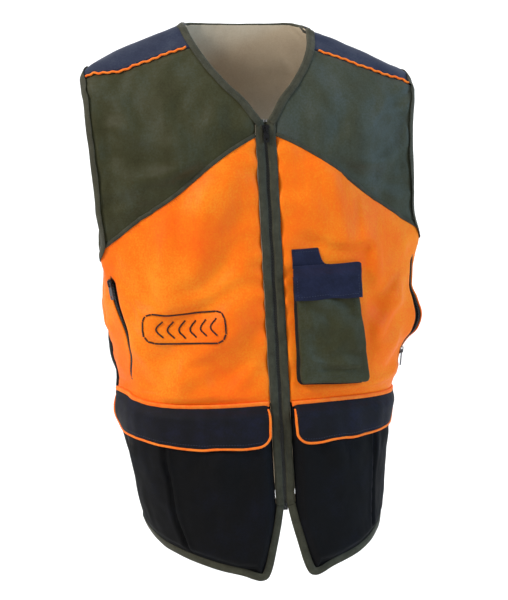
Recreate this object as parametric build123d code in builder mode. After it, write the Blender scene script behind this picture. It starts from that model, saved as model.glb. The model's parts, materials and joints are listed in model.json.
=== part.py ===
from build123d import *
import math
import os

# Sleeveless field vest, hung by the shoulders. X runs to the wearer's left, the front faces -Y, Z is up.
# Heights below are measured from the lower front corner of the hem; save() moves every piece
# so that the origin is midway between the two neck points. Millimetres throughout.

NECK_HEIGHT = 723
FULLNESS = 2.3
# height, half width, depth to the front, depth to the back
STATIONS = [
    (-40, 152, 125.6, 98),
    (0, 158, 124, 100),
    (60, 166, 121.6, 102),
    (120, 171.5, 119.2, 104),
    (180, 178, 116.8, 106),
    (240, 187, 114.4, 108),
    (300, 196.5, 112, 110),
    (365, 205.5, 109.4, 113),
    (430, 213, 106.8, 116),
    (500, 221, 104, 118),
    (560, 228, 101.6, 116),
    (600, 229, 100, 110),
    (640, 226, 86, 95),
    (667, 214, 68, 82),
    (690, 175, 50, 66),
    (710, 120, 30, 52),
    (NECK_HEIGHT, 84, 18, 45),
]
POINTS_ROUND = 20

SHELL_THICK = 2.2
LINING_FROM = 3.0
LINING_TO = 4.0
BINDING_PROUD = 1.0
BINDING_DEPTH = 5.0
BINDING_WIDTH = 10
REACH = 260
CENTRE_EDGE = 13.4
STRIP_EDGE = 3.0

# Seam and edge lines on the wearer's left half, seen from the front: (x, height)
NECK_FRONT = [(83, 723), (78, 704), (64, 676), (44, 650), (22, 627), (12, 612), (3, 600)]
NECK_BACK = [(83, 723), (74, 719), (50, 717), (0, 716)]
YOKE_FRONT = [(0, 716), (88, 692), (137, 678), (173, 668), (208, 656), (REACH, 636)]
YOKE_BACK = [(88, 680), (150, 664), (208, 640), (REACH, 615)]
CHEST_SEAM = [
    (0, 592), (12, 585), (50, 565), (78, 546), (112, 519), (152, 489), (185, 463), (205, 440), (REACH, 380)
]
WAIST_SEAM = [(0, 235), (90, 237), (190, 241), (REACH, 242)]
FRONT_EDGE = [(3, 98), (8, 75), (18, 38), (30, -2)]
HEM = [(30, -2), (60, 6), (122, 26), (155, 41), (178, 56), (REACH, 64)]
BACK_SEAM_HEIGHT = 330
BACK_HEM_HEIGHT = 60

ARMHOLE_MID = 550
ARMHOLE_HALF_HEIGHT = 117
ARMHOLE_HALF_DEPTH = 50

WINDOW_HALF = 14

# Slide fasteners
CHAIN_PITCH = 3.6
TOOTH_LENGTH = 2.1
ROW_INNER = 0.8
ROW_OUTER = 2.6
ROW_ROOT = 1.9
ROW_BACK = -4.1
ROW_FRONT = -1.6
TAPE_BACK = -3.2
TAPE_FRONT = -2.5
TAPE_INNER = 2.65
TAPE_OUTER = 12.0
MAIN_ZIP_BOTTOM = 92
MAIN_ZIP_TOP = 600
TAPE_STEP = 583
FRONT_SLOPE = 0.04
SIDE_ZIP_TOP = (204.2, -36.8, 406)
SIDE_ZIP_BOTTOM = (185.3, -39.4, 270)
MAIN_SLIDER_HEIGHT = 591
MAIN_PULL_LENGTH = 17
SIDE_PULL_LENGTH = 22
SIDE_SLIDER_INSET = 8
PLATE_THICK = 1.5
PLATE_FRONT = 0.5
PLATE_BACK = -4.5
BRIDGE_HALF = 1.1
BRIDGE_REACH = 4.0
BRIDGE_TOP = 5.4
PIVOT_OUT = 3.2
BAR_RADIUS = 0.7
PULL_THICK = 1.2

# Chest pocket, on the wearer's left
CHEST_MID = (74, 331)
CHEST_TURN = 8.6
CHEST_TILT = 0.6
CHEST_STAND_OFF = 119.5
CHEST_TOP = 396
CHEST_BOTTOM = 249
CHEST_WALL = 2.0
CHEST_FLAP_TOP = 408
CHEST_FLAP_DROP = 41
CHEST_FLAP_GAP = 2.2
CHEST_FLAP_THICK = 2.2

# Lower pockets: stand-off of each surface from the panel, at the side and at the front
POCKET_OUT = (3.0, 10.0)
POCKET_IN = (1.0, 8.0)
FLAP_IN = (4.2, 12.2)
FLAP_OUT = (6.2, 14.2)
FLAP_TOP = 225
FLAP_BOTTOM = 177
FLAP_EDGE = 17
SIDE_CUT = -14


def slopes(xs, ys):
    """Slopes at the stations for a curve that doesn't overshoot them."""
    steps = [(ys[i + 1] - ys[i]) / (xs[i + 1] - xs[i]) for i in range(len(xs) - 1)]
    inner = []
    for before, after in zip(steps, steps[1:]):
        inner.append(0.0 if before * after <= 0 else 2 * before * after / (before + after))
    return [steps[0]] + inner + [steps[-1]]


def across(column, height):
    """Value and slope of one column of STATIONS at a height."""
    xs = [row[0] for row in STATIONS]
    ys = [row[column] for row in STATIONS]
    ms = slopes(xs, ys)
    height = min(max(height, xs[0]), xs[-1])
    i = max(k for k in range(len(xs) - 1) if xs[k] <= height)
    span = xs[i + 1] - xs[i]
    t = (height - xs[i]) / span
    value = (2 * t**3 - 3 * t**2 + 1) * ys[i] + (t**3 - 2 * t**2 + t) * span * ms[i]
    value += (3 * t**2 - 2 * t**3) * ys[i + 1] + (t**3 - t**2) * span * ms[i + 1]
    rate = (6 * t**2 - 6 * t) * (ys[i] - ys[i + 1]) / span
    rate += (3 * t**2 - 4 * t + 1) * ms[i] + (3 * t**2 - 2 * t) * ms[i + 1]
    return value, rate


def ring(height, side_out, front_out):
    """Points round the body at a height, moved out from it by so much at the side and front."""
    half_width, front, back = (across(column, height) for column in (1, 2, 3))
    a = half_width[0] + side_out * math.hypot(1, half_width[1])
    f = front[0] + front_out * math.hypot(1, front[1])
    b = back[0] + front_out * math.hypot(1, back[1])
    points = []
    for k in range(POINTS_ROUND):
        turn = 2 * math.pi * k / POINTS_ROUND
        c, s = math.cos(turn), math.sin(turn)
        x = a * math.copysign(abs(c) ** (2 / FULLNESS), c)
        y = (b if s > 0 else f) * math.copysign(abs(s) ** (2 / FULLNESS), s)
        points.append((x, y))
    return points


layers = {}


def layer(side_out, front_out=None, low=STATIONS[0][0], high=NECK_HEIGHT):
    """Solid body form with its surface moved out by the given distances."""
    front_out = side_out if front_out is None else front_out
    key = (side_out, front_out, low, high)
    if key not in layers:
        heights = [low] + [row[0] for row in STATIONS if low < row[0] < high] + [high]
        with BuildPart() as form:
            for height in heights:
                with BuildSketch(Plane.XY.offset(height)):
                    with BuildLine():
                        Spline(*ring(height, side_out, front_out), periodic=True)
                    make_face()
            loft()
        layers[key] = form.part
    return layers[key]


def skin(outer, inner, low=STATIONS[0][0], high=NECK_HEIGHT):
    """Shell between two layers."""
    with BuildPart() as shell:
        add(layer(*outer, low=low, high=high))
        add(layer(*inner, low=low, high=high), mode=Mode.SUBTRACT)
    return shell.part


def prism(edges, front=True):
    """Solid from the XZ plane out to the front or the back, bounded by edges of (x, height)."""
    with BuildPart() as block:
        with BuildSketch(Plane.XZ):
            with BuildLine():
                for edge in edges:
                    if len(edge) == 2:
                        Line(*edge)
                    else:
                        Spline(*edge)
            make_face()
        extrude(amount=REACH if front else -REACH)
    return block.part


def beside(points, distance):
    """The same line moved sideways, to the left of its direction."""
    moved = []
    for i, (x, z) in enumerate(points):
        before = points[max(i - 1, 0)]
        after = points[min(i + 1, len(points) - 1)]
        run = (after[0] - before[0], after[1] - before[1])
        size = math.hypot(*run)
        moved.append((x - run[1] / size * distance, z + run[0] / size * distance))
    return moved


def mirrored(points):
    return [(-x, z) for x, z in points]


def band(top, bottom, inner_x):
    """Edges of the region between two cross lines that both end at x = REACH."""
    start = at_x(top, inner_x)
    end = at_x(bottom, inner_x)
    return [start, [start[-1], end[-1]], end[::-1], [end[0], start[0]]]


def at_x(line, x):
    """The part of a cross line beyond x, starting on it."""
    for (x0, z0), (x1, z1) in zip(line, line[1:]):
        if x0 <= x < x1:
            first = (x, z0 + (z1 - z0) * (x - x0) / (x1 - x0))
            return [first] + [point for point in line if point[0] > x + 4]
    return line


def armhole(grow):
    """Oval block through both sides, larger than the armhole by grow."""
    with BuildPart() as block:
        with BuildSketch(Plane.YZ):
            with Locations((0, ARMHOLE_MID)):
                RectangleRounded(
                    2 * (ARMHOLE_HALF_DEPTH + grow),
                    2 * (ARMHOLE_HALF_HEIGHT + grow),
                    ARMHOLE_HALF_DEPTH + grow - 6,
                )
        extrude(amount=300, both=True)
    with BuildPart() as sides:
        add(block.part)
        Box(200, 400, 400, align=(Align.CENTER, Align.CENTER, Align.CENTER), mode=Mode.SUBTRACT)
        with Locations((0, 0, ARMHOLE_MID)):
            Box(200, 400, 400, mode=Mode.SUBTRACT)
    return sides.part


NECK_FRONT_OUT = beside(NECK_FRONT, BINDING_WIDTH)
NECK_BACK_OUT = beside(NECK_BACK, BINDING_WIDTH)
NECK_TOP = NECK_HEIGHT + 20


def neck(front_line, front):
    """Block filling the neck opening inside a line that ends at the centre."""
    whole = [(0, front_line[-1][1])] + front_line[::-1] if front else front_line[::-1]
    edges = [whole, [whole[-1], (whole[-1][0], NECK_TOP)]]
    edges += [[(whole[-1][0], NECK_TOP), (0, NECK_TOP)], [(0, NECK_TOP), whole[0]]]
    half = prism(edges, front)
    with BuildPart() as block:
        add(half)
        mirror(half, about=Plane.YZ)
    return block.part


def piece(shell, region, cuts=()):
    with BuildPart() as panel:
        add(shell)
        add(region, mode=Mode.INTERSECT)
        for cut in cuts:
            add(cut, mode=Mode.SUBTRACT)
    return panel.part


def save(part, name):
    with BuildPart() as node:
        with Locations((0, 0, -NECK_HEIGHT)):
            add(part)
    node.part.label = name
    export_step(node.part, f"parts/{name}.step")


def save_pair(part, name):
    """The wearer's left piece, and its mirror image on the right."""
    save(part, f"{name}_left")
    with BuildPart() as other:
        mirror(part, about=Plane.YZ)
    save(other.part, f"{name}_right")


os.makedirs("parts", exist_ok=True)

outer_skin = skin((0,), (-SHELL_THICK,))
lining_skin = skin((-LINING_FROM,), (-LINING_TO,))
binding_skin = skin((BINDING_PROUD,), (-BINDING_DEPTH,))
armhole_cut = armhole(0)
armhole_out = armhole(BINDING_WIDTH)
neck_front_cut = neck(NECK_FRONT, True)
neck_back_cut = neck(NECK_BACK, False)
neck_front_out = neck(NECK_FRONT_OUT, True)
neck_back_out = neck(NECK_BACK_OUT, False)
HEM_IN = beside(HEM, BINDING_WIDTH)
FRONT_EDGE_IN = beside(FRONT_EDGE, BINDING_WIDTH)
CORNER_IN = (40.5, 11)
INNER_EDGE = [(CENTRE_EDGE, 100.5)] + FRONT_EDGE_IN[1:-1] + [CORNER_IN]
INNER_HEM = [CORNER_IN] + HEM_IN[1:]

# Shoulder yokes, front and back of each shoulder in one piece
SKY = NECK_HEIGHT + 10
front_yoke = prism(
    [
        at_x(YOKE_FRONT, 60),
        [(REACH, 636), (REACH, SKY)],
        [(REACH, SKY), (60, SKY)],
        [(60, SKY), at_x(YOKE_FRONT, 60)[0]],
    ]
)
back_yoke = prism(
    [YOKE_BACK, [(REACH, 615), (REACH, SKY)], [(REACH, SKY), (88, SKY)], [(88, SKY), (88, 680)]],
    front=False
)
with BuildPart() as yoke_region:
    add(front_yoke)
    add(back_yoke)
yoke = piece(outer_skin, yoke_region.part, [neck_front_out, neck_back_out, armhole_out])
save_pair(yoke, "shoulder_yoke")

# Front panels from the shoulder down
chest = piece(outer_skin, prism(band(YOKE_FRONT, CHEST_SEAM, CENTRE_EDGE)), [neck_front_out, armhole_out])
save_pair(chest, "chest_panel")

# Side pocket fastener: its own plane, with y up the chain and z out of the garment
bottom = Vector(*SIDE_ZIP_BOTTOM)
top = Vector(*SIDE_ZIP_TOP)
SIDE_ZIP_LENGTH = (top - bottom).length
up_chain = (top - bottom).normalized()
outward = Vector(1, -0.46, 0)
outward = (outward - up_chain * outward.dot(up_chain)).normalized()
side_plane = Plane(origin=bottom, x_dir=up_chain.cross(outward), z_dir=outward)
main_plane = Plane(
    origin=(0, -120 + FRONT_SLOPE * (MAIN_ZIP_BOTTOM - 99), MAIN_ZIP_BOTTOM),
    x_dir=(1, 0, 0),
    z_dir=(0, -1, FRONT_SLOPE),
)

with BuildPart() as side_slot:
    with BuildSketch(side_plane.offset(-10)):
        with Locations((0, SIDE_ZIP_LENGTH / 2)):
            Rectangle(2 * STRIP_EDGE, SIDE_ZIP_LENGTH)
    extrude(amount=20)
with BuildPart() as side_window:
    with BuildSketch(side_plane.offset(-2.35)):
        with Locations((0, SIDE_ZIP_LENGTH / 2)):
            Rectangle(2 * WINDOW_HALF, SIDE_ZIP_LENGTH + 8)
    extrude(amount=-12)
front = piece(
    outer_skin,
    prism(band(CHEST_SEAM, WAIST_SEAM, CENTRE_EDGE)),
    [armhole_out, side_slot.part, side_window.part],
)
save_pair(front, "front_panel")

lower_edges = [INNER_EDGE, INNER_HEM, [INNER_HEM[-1], WAIST_SEAM[-1]]]
waist_line = at_x(WAIST_SEAM, CENTRE_EDGE)
lower_edges += [waist_line[::-1], [waist_line[0], INNER_EDGE[0]]]
save_pair(piece(outer_skin, prism(lower_edges)), "lower_panel")

# Back panels
back_edges = [
    YOKE_BACK[::-1],
    [(88, 680), (88, SKY)],
    [(88, SKY), (-88, SKY)],
    [(-88, SKY), (-88, 680)],
    mirrored(YOKE_BACK),
    [(-REACH, 615), (-REACH, BACK_SEAM_HEIGHT)],
    [(-REACH, BACK_SEAM_HEIGHT), (REACH, BACK_SEAM_HEIGHT)],
    [(REACH, BACK_SEAM_HEIGHT), (REACH, 615)],
]
save(piece(outer_skin, prism(back_edges, front=False), [neck_back_out, armhole_out]), "back_panel")
hem_inner = BACK_HEM_HEIGHT + BINDING_WIDTH
with BuildPart() as back_low:
    with BuildSketch(Plane.XZ):
        with Locations((0, (BACK_SEAM_HEIGHT + hem_inner) / 2)):
            Rectangle(2 * REACH, BACK_SEAM_HEIGHT - hem_inner)
    extrude(amount=-REACH)
save(piece(outer_skin, back_low.part), "back_lower_panel")

# Lining
lining_edges = [INNER_EDGE, INNER_HEM, [INNER_HEM[-1], (REACH, SKY)], [(REACH, SKY), (INNER_EDGE[0][0], SKY)]]
lining_edges += [[(INNER_EDGE[0][0], SKY), INNER_EDGE[0]]]
lining_front = piece(lining_skin, prism(lining_edges), [neck_front_out, armhole_out, side_window.part])
save_pair(lining_front, "lining_front")
with BuildPart() as back_all:
    with BuildSketch(Plane.XZ):
        with Locations((0, (SKY + hem_inner) / 2)):
            Rectangle(2 * REACH, SKY - hem_inner)
    extrude(amount=-REACH)
save(piece(lining_skin, back_all.part, [neck_back_out, armhole_out]), "lining_back")

# Bindings round the neck, the armholes and the hem
with BuildPart() as centre_gap:
    with Locations((0, -100, 560)):
        Box(2 * 5.4, 120, 120)
with BuildPart() as neck_region:
    add(neck_front_out)
    add(neck_back_out)
neck_cuts = [neck_front_cut, neck_back_cut, centre_gap.part]
save(piece(binding_skin, neck_region.part, neck_cuts), "neck_binding")
with BuildPart() as armhole_side:
    add(armhole_out)
    with Locations((-REACH, 0, ARMHOLE_MID)):
        Box(2 * REACH, 400, 400, mode=Mode.SUBTRACT)
save_pair(piece(binding_skin, armhole_side.part, [armhole_cut]), "armhole_binding")
hem_edges = [FRONT_EDGE, HEM, [HEM[-1], INNER_HEM[-1]], INNER_HEM[::-1], INNER_EDGE[::-1]]
hem_edges += [[INNER_EDGE[0], FRONT_EDGE[0]]]
save_pair(piece(binding_skin, prism(hem_edges)), "hem_binding")
with BuildPart() as back_hem:
    with BuildSketch(Plane.XZ):
        with Locations((0, BACK_HEM_HEIGHT + BINDING_WIDTH / 2)):
            Rectangle(2 * REACH, BINDING_WIDTH)
    extrude(amount=-REACH)
save(piece(binding_skin, back_hem.part), "hem_binding_back")

# Piping on the shoulder seams, just proud of the yoke
piping_skin = skin((1.8,), (0.1,))
piping_edges = band(beside(YOKE_FRONT, 2), beside(YOKE_FRONT, -2), 70)
save_pair(piece(piping_skin, prism(piping_edges), [neck_front_out, armhole_out]), "shoulder_piping")


# Slide fasteners
def block(plane, x0, x1, y0, y1, z0, z1):
    with BuildPart() as box:
        with BuildSketch(plane.offset(z0)):
            with Locations(((x0 + x1) / 2, (y0 + y1) / 2)):
                Rectangle(x1 - x0, y1 - y0)
        extrude(amount=z1 - z0)
    return box.part


def tooth_row(plane, start, end):
    """One row of teeth on its edge cord, as a comb."""
    count = int((end - start) / CHAIN_PITCH)
    outline = [(ROW_OUTER, start)]
    for k in range(count):
        foot = start + k * CHAIN_PITCH
        outline += [(ROW_INNER, foot), (ROW_INNER, foot + TOOTH_LENGTH)]
        outline += [(ROW_ROOT, foot + TOOTH_LENGTH), (ROW_ROOT, foot + CHAIN_PITCH)]
    outline += [(ROW_OUTER, start + count * CHAIN_PITCH)]
    with BuildPart() as row:
        with BuildSketch(plane.offset(ROW_BACK)):
            with BuildLine():
                Polyline(*outline, close=True)
            make_face()
        extrude(amount=ROW_FRONT - ROW_BACK)
    return row.part


def tape(plane, start, end, step):
    """Woven tape, narrower above step so that it passes inside the neck binding."""
    edge = [(TAPE_INNER, start), (TAPE_OUTER, start), (TAPE_OUTER, step)]
    edge += [(5.2, step), (5.2, end), (TAPE_INNER, end)]
    with BuildPart() as strip:
        with BuildSketch(plane.offset(TAPE_BACK)):
            with BuildLine():
                Polyline(*edge, close=True)
            make_face()
        extrude(amount=TAPE_FRONT - TAPE_BACK)
    return strip.part


def plate():
    """Outline of a slider plate: wide shoulders at the top, narrow mouth at the bottom."""
    with BuildSketch() as shape:
        with BuildLine():
            Polyline((-3.2, -5.5), (3.2, -5.5), (3.4, -1), (4.7, 1.5), (4.7, 4.2), (2.6, 5.5),
                     (-2.6, 5.5), (-4.7, 4.2), (-4.7, 1.5), (-3.4, -1), close=True)
        make_face()
    return shape.sketch


def slider(plane, along):
    """Slider body centred at a distance along the chain, with a bridge for the pull."""
    here = plane.shift_origin(plane.from_local_coords((0, along, 0)))
    with BuildPart() as body:
        with BuildSketch(here.offset(PLATE_FRONT)):
            add(plate())
        extrude(amount=PLATE_THICK)
        with BuildSketch(here.offset(PLATE_BACK - PLATE_THICK)):
            add(plate())
        extrude(amount=PLATE_THICK)
        with BuildSketch(here.offset(PLATE_BACK)):
            with Locations((0, 3.6)):
                Rectangle(0.9, 2.8)
        extrude(amount=PLATE_FRONT - PLATE_BACK)
        with BuildSketch(here.offset(PLATE_FRONT + PLATE_THICK)):
            Rectangle(2 * BRIDGE_HALF, 2 * BRIDGE_REACH)
        extrude(amount=BRIDGE_TOP - PLATE_FRONT - PLATE_THICK)
        with BuildSketch(here.offset(PLATE_FRONT + PLATE_THICK)):
            Rectangle(3 * BRIDGE_HALF, 2 * BRIDGE_REACH - 2.4)
        extrude(amount=BRIDGE_TOP - 1.0 - PLATE_FRONT - PLATE_THICK, mode=Mode.SUBTRACT)
    return body.part


def pull(plane, along, length):
    """Pull tab hanging from a cross bar under the bridge, with a cord hole near its tip."""
    here = plane.shift_origin(plane.from_local_coords((0, along, 0)))
    with BuildPart() as tab:
        with BuildSketch(here.offset(PIVOT_OUT - PULL_THICK / 2)):
            with BuildLine():
                Polyline((-3.0, 0.6), (3.0, 0.6), (3.0, -6.2), (3.6, -8), (3.6, -length + 1.2), (2.4, -length),
                         (-2.4, -length), (-3.6, -length + 1.2), (-3.6, -8), (-3.0, -6.2), close=True)
            make_face()
            with Locations((0, -2.4)):
                Rectangle(3.2, 6.2, mode=Mode.SUBTRACT)
            with Locations((0, -length + 4)):
                Circle(1.5, mode=Mode.SUBTRACT)
        extrude(amount=PULL_THICK)
        with BuildSketch(Plane(origin=here.from_local_coords((-2.4, 0, PIVOT_OUT)), z_dir=here.x_dir)):
            Circle(BAR_RADIUS - 0.1)
        extrude(amount=4.8)
    return tab.part


main_length = (MAIN_ZIP_TOP - MAIN_ZIP_BOTTOM) * math.hypot(1, FRONT_SLOPE)
box_top = 9.0
strip_block = block(main_plane, STRIP_EDGE, CENTRE_EDGE, 9.4, main_length, -SHELL_THICK, 0)
strip_area = prism([[(0, 60), (60, 60)], [(60, 60), (60, 620)], [(60, 620), (0, 620)], [(0, 620), (0, 60)]])
save_pair(piece(strip_block, strip_area, [neck_front_out]), "front_strip")
step = (TAPE_STEP - MAIN_ZIP_BOTTOM) * math.hypot(1, FRONT_SLOPE)
save_pair(tape(main_plane, box_top + 0.5, main_length, step), "zip_tape")
save_pair(tooth_row(main_plane, box_top + 1, main_length - 3), "zip_teeth")
top_stop = block(main_plane, ROW_INNER, 4.0, main_length + 0.2, main_length + 3.4, ROW_BACK, ROW_FRONT + 1)
save_pair(top_stop, "zip_top_stop")
with BuildPart() as retainer:
    add(block(main_plane, -2.7, 2.7, -0.5, box_top, -5.0, -1.0))
    add(block(main_plane, -0.3, 0.3, 2.0, box_top, -5.0, -1.0), mode=Mode.SUBTRACT)
save(retainer.part, "zip_retainer")
main_along = (MAIN_SLIDER_HEIGHT - MAIN_ZIP_BOTTOM) * math.hypot(1, FRONT_SLOPE)
save(slider(main_plane, main_along), "zip_slider")
save(pull(main_plane, main_along, MAIN_PULL_LENGTH), "zip_pull")

side_rows = tooth_row(side_plane, 2, SIDE_ZIP_LENGTH - 2)
side_tape = tape(side_plane, -3, SIDE_ZIP_LENGTH + 3, SIDE_ZIP_LENGTH + 2)
half_turn = Plane(origin=side_plane.origin, x_dir=side_plane.y_dir, z_dir=side_plane.x_dir)
with BuildPart() as both_rows:
    add(side_rows)
    mirror(side_rows, about=half_turn)
save_pair(both_rows.part, "side_zip_teeth")
with BuildPart() as both_tapes:
    add(side_tape)
    mirror(side_tape, about=half_turn)
save_pair(both_tapes.part, "side_zip_tape")
low_stop = SIDE_SLIDER_INSET
high_stop = SIDE_ZIP_LENGTH - SIDE_SLIDER_INSET
save(slider(side_plane, low_stop), "side_zip_slider_left")
save(pull(side_plane, low_stop, SIDE_PULL_LENGTH), "side_zip_pull_left")
with BuildPart() as right_slider:
    mirror(slider(side_plane, high_stop), about=Plane.YZ)
save(right_slider.part, "side_zip_slider_right")
with BuildPart() as right_pull:
    mirror(pull(side_plane, high_stop, SIDE_PULL_LENGTH), about=Plane.YZ)
save(right_pull.part, "side_zip_pull_right")

# Flat pocket bags behind the side fasteners
with BuildPart() as bag_region:
    with BuildSketch(Plane.YZ):
        with BuildLine():
            Polyline((-4, 418), (-4, 252), (-58, 236), (-92, 262), (-92, 330), (-50, 418), close=True)
        make_face()
    extrude(amount=REACH)
save_pair(piece(skin((-7.4,), (-9.6,), 120, 500), bag_region.part), "side_pocket_bag")

# Chest pocket: an open tray on the front panel, with its flap
turn = math.radians(CHEST_TURN)
tilt = math.radians(CHEST_TILT)
chest_plane = Plane(
    origin=(CHEST_MID[0], -CHEST_STAND_OFF, CHEST_MID[1]),
    x_dir=(math.cos(turn), math.sin(turn), 0),
    z_dir=(math.sin(turn) * math.cos(tilt), -math.cos(turn) * math.cos(tilt), math.sin(tilt)),
)
chest_up = CHEST_TOP - CHEST_MID[1]
chest_down = CHEST_BOTTOM - CHEST_MID[1]
body_solid = layer(0.1, 0.1, low=180, high=500)


def slab(outline, front_at, depth):
    """Block behind a level of the chest plane, down to the garment."""
    with BuildPart() as solid:
        with BuildSketch(chest_plane.offset(front_at)):
            with BuildLine():
                Polyline(*outline, close=True)
            make_face()
        extrude(amount=-depth)
        add(body_solid, mode=Mode.SUBTRACT)
    return solid.part


outside = [(-47, chest_up), (48, chest_up), (57, chest_down), (-49, chest_down)]
wall = CHEST_WALL
inside = [(-47 + wall, chest_up + 5), (48 - wall, chest_up + 5)]
inside += [(57 - wall, chest_down + wall), (-49 + wall, chest_down + wall)]
tray = slab(outside, 0, 40)
with BuildPart() as hollow:
    with BuildSketch(chest_plane.offset(-wall)):
        with BuildLine():
            Polyline(*inside, close=True)
        make_face()
    extrude(amount=-60)
with BuildPart() as chest_pocket:
    add(tray)
    add(hollow.part, mode=Mode.SUBTRACT)
save(chest_pocket.part, "chest_pocket")

flap_up = CHEST_FLAP_TOP - CHEST_MID[1]
flap_level = CHEST_FLAP_GAP + CHEST_FLAP_THICK
with BuildPart() as chest_flap:
    with BuildSketch(chest_plane.offset(CHEST_FLAP_GAP)):
        with BuildLine():
            Polyline((-50, flap_up), (50, flap_up), (50, flap_up - CHEST_FLAP_DROP + 5), (45, flap_up - CHEST_FLAP_DROP),
                     (-45, flap_up - CHEST_FLAP_DROP), (-50, flap_up - CHEST_FLAP_DROP + 5), close=True)
        make_face()
    extrude(amount=CHEST_FLAP_THICK)
save(chest_flap.part, "chest_flap")
rail = slab([(-50, flap_up + 0.4), (50, flap_up + 0.4), (50, flap_up + 5.4), (-50, flap_up + 5.4)], flap_level, 40)
with BuildPart() as tab_region:
    with BuildSketch(chest_plane.offset(30)):
        with Locations((-31, flap_up + 16.5)):
            Rectangle(38, 22)
    extrude(amount=-60)
tab_skin = skin((2.3,), (0.1,), 180, 500)
with BuildPart() as anchor:
    add(rail)
    add(piece(tab_skin, tab_region.part, [layer(0.1, 0.1, low=180, high=500)]))
save(anchor.part, "chest_flap_anchor")
save(block(chest_plane, -30, 30, flap_up - 34, flap_up - 16, 0.05, 0.85), "chest_loop_patch")
save(block(chest_plane, -30, 30, flap_up - 34, flap_up - 16, 1.35, CHEST_FLAP_GAP - 0.05), "chest_hook_patch")

# Lower pockets and their flaps
with BuildPart() as side_keep:
    with Locations((0, SIDE_CUT - 200, 120)):
        Box(2 * REACH, 400, 500)
low, high = STATIONS[0][0], 320
pocket_top = FLAP_TOP - 14
pocket_edge = [(FLAP_EDGE, 92), (24, 60), (34, 30), (46, 18)]
pocket_hem = [(46, 18), (62, 21), (122, 41), (155, 56), (REACH, 82)]
pocket_edges = [pocket_edge, pocket_hem, [(REACH, 82), (REACH, pocket_top)]]
pocket_edges += [[(REACH, pocket_top), (FLAP_EDGE, pocket_top)]]
pocket_edges += [[(FLAP_EDGE, pocket_top), (FLAP_EDGE, 92)]]
cavity_edge = beside(pocket_edge, CHEST_WALL)
cavity_hem = beside(pocket_hem, CHEST_WALL)
cavity_edge[-1] = cavity_hem[0] = (48, 21)
cavity_edges = [cavity_edge, cavity_hem, [cavity_hem[-1], (REACH, high)]]
cavity_edges += [[(REACH, high), (cavity_edge[0][0], high)]]
cavity_edges += [[(cavity_edge[0][0], high), cavity_edge[0]]]
with BuildPart() as cavity_side:
    with Locations((0, SIDE_CUT - CHEST_WALL - 200, 120)):
        Box(2 * REACH, 400, 500)
cavity = piece(layer(*POCKET_IN, low=low, high=high), prism(cavity_edges), [])
with BuildPart() as cavity_kept:
    add(cavity)
    add(cavity_side.part, mode=Mode.INTERSECT)
with BuildPart() as pleat:
    with BuildSketch(Plane.XZ.offset(60)):
        with BuildLine():
            Polyline((140.5, 230), (143.5, 230), (124.5, 30), (121.5, 30), close=True)
        make_face()
    extrude(amount=80)
    add(layer(POCKET_OUT[0] - 0.9, POCKET_OUT[1] - 0.9, low=low, high=high), mode=Mode.SUBTRACT)
pocket_skin = skin(POCKET_OUT, (0.1,), low, high)
lower_pocket = piece(pocket_skin, prism(pocket_edges), [cavity_kept.part, pleat.part])
with BuildPart() as lower_pocket_cut:
    add(lower_pocket)
    add(side_keep.part, mode=Mode.INTERSECT)
save_pair(lower_pocket_cut.part, "lower_pocket")

flap_edges = [
    [(FLAP_EDGE + 3, FLAP_TOP), (FLAP_EDGE + 3, FLAP_BOTTOM + 3)],
    [(FLAP_EDGE + 3, FLAP_BOTTOM + 3), (REACH, FLAP_BOTTOM + 3)],
    [(REACH, FLAP_BOTTOM + 3), (REACH, FLAP_TOP)],
    [(REACH, FLAP_TOP), (FLAP_EDGE + 3, FLAP_TOP)],
]
flap_skin = skin(FLAP_OUT, FLAP_IN, low, high)
with BuildPart() as lower_flap:
    add(piece(flap_skin, prism(flap_edges)))
    add(side_keep.part, mode=Mode.INTERSECT)
save_pair(lower_flap.part, "lower_flap")
trim_edges = [
    [(FLAP_EDGE + 2.9, FLAP_TOP), (FLAP_EDGE + 2.9, FLAP_BOTTOM + 2.9)],
    [(FLAP_EDGE + 2.9, FLAP_BOTTOM + 2.9), (REACH, FLAP_BOTTOM + 2.9)],
    [(REACH, FLAP_BOTTOM + 2.9), (REACH, FLAP_BOTTOM)],
    [(REACH, FLAP_BOTTOM), (FLAP_EDGE, FLAP_BOTTOM)],
    [(FLAP_EDGE, FLAP_BOTTOM), (FLAP_EDGE, FLAP_TOP)],
    [(FLAP_EDGE, FLAP_TOP), (FLAP_EDGE + 2.9, FLAP_TOP)],
]
trim_skin = skin((FLAP_OUT[0] + 0.6, FLAP_OUT[1] + 0.6), (FLAP_IN[0] - 0.2, FLAP_IN[1] - 0.2), low, high)
with BuildPart() as flap_trim:
    add(piece(trim_skin, prism(trim_edges)))
    add(side_keep.part, mode=Mode.INTERSECT)
save_pair(flap_trim.part, "lower_flap_piping")
ledge_top = [(0, 233), (90, 235), (REACH, 240)]
ledge_low = [(0, FLAP_TOP + 0.4), (90, FLAP_TOP + 0.4), (REACH, FLAP_TOP + 0.4)]
ledge_edges = band(ledge_top, ledge_low, 14.2)
with BuildPart() as ledge:
    add(piece(skin(FLAP_OUT, (0.1,), low, high), prism(ledge_edges)))
    add(side_keep.part, mode=Mode.INTERSECT)
save_pair(ledge.part, "waist_piping")
patch = [[(70, 186), (112, 186)], [(112, 186), (112, 204)], [(112, 204), (70, 204)], [(70, 204), (70, 186)]]
loop_skin = skin((POCKET_OUT[0] + 0.5, POCKET_OUT[1] + 0.9), (POCKET_OUT[0] + 0.05, POCKET_OUT[1] + 0.05), low, high)
hook_skin = skin((FLAP_IN[0] - 0.05, FLAP_IN[1] - 0.05), (FLAP_IN[0] - 0.3, FLAP_IN[1] - 0.8), low, high)
save_pair(piece(loop_skin, prism(patch)), "lower_loop_patch")
save_pair(piece(hook_skin, prism(patch)), "lower_hook_patch")
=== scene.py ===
import json
import math
import bmesh
import bpy
import numpy as np
from mathutils import Matrix, Vector, noise

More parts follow.
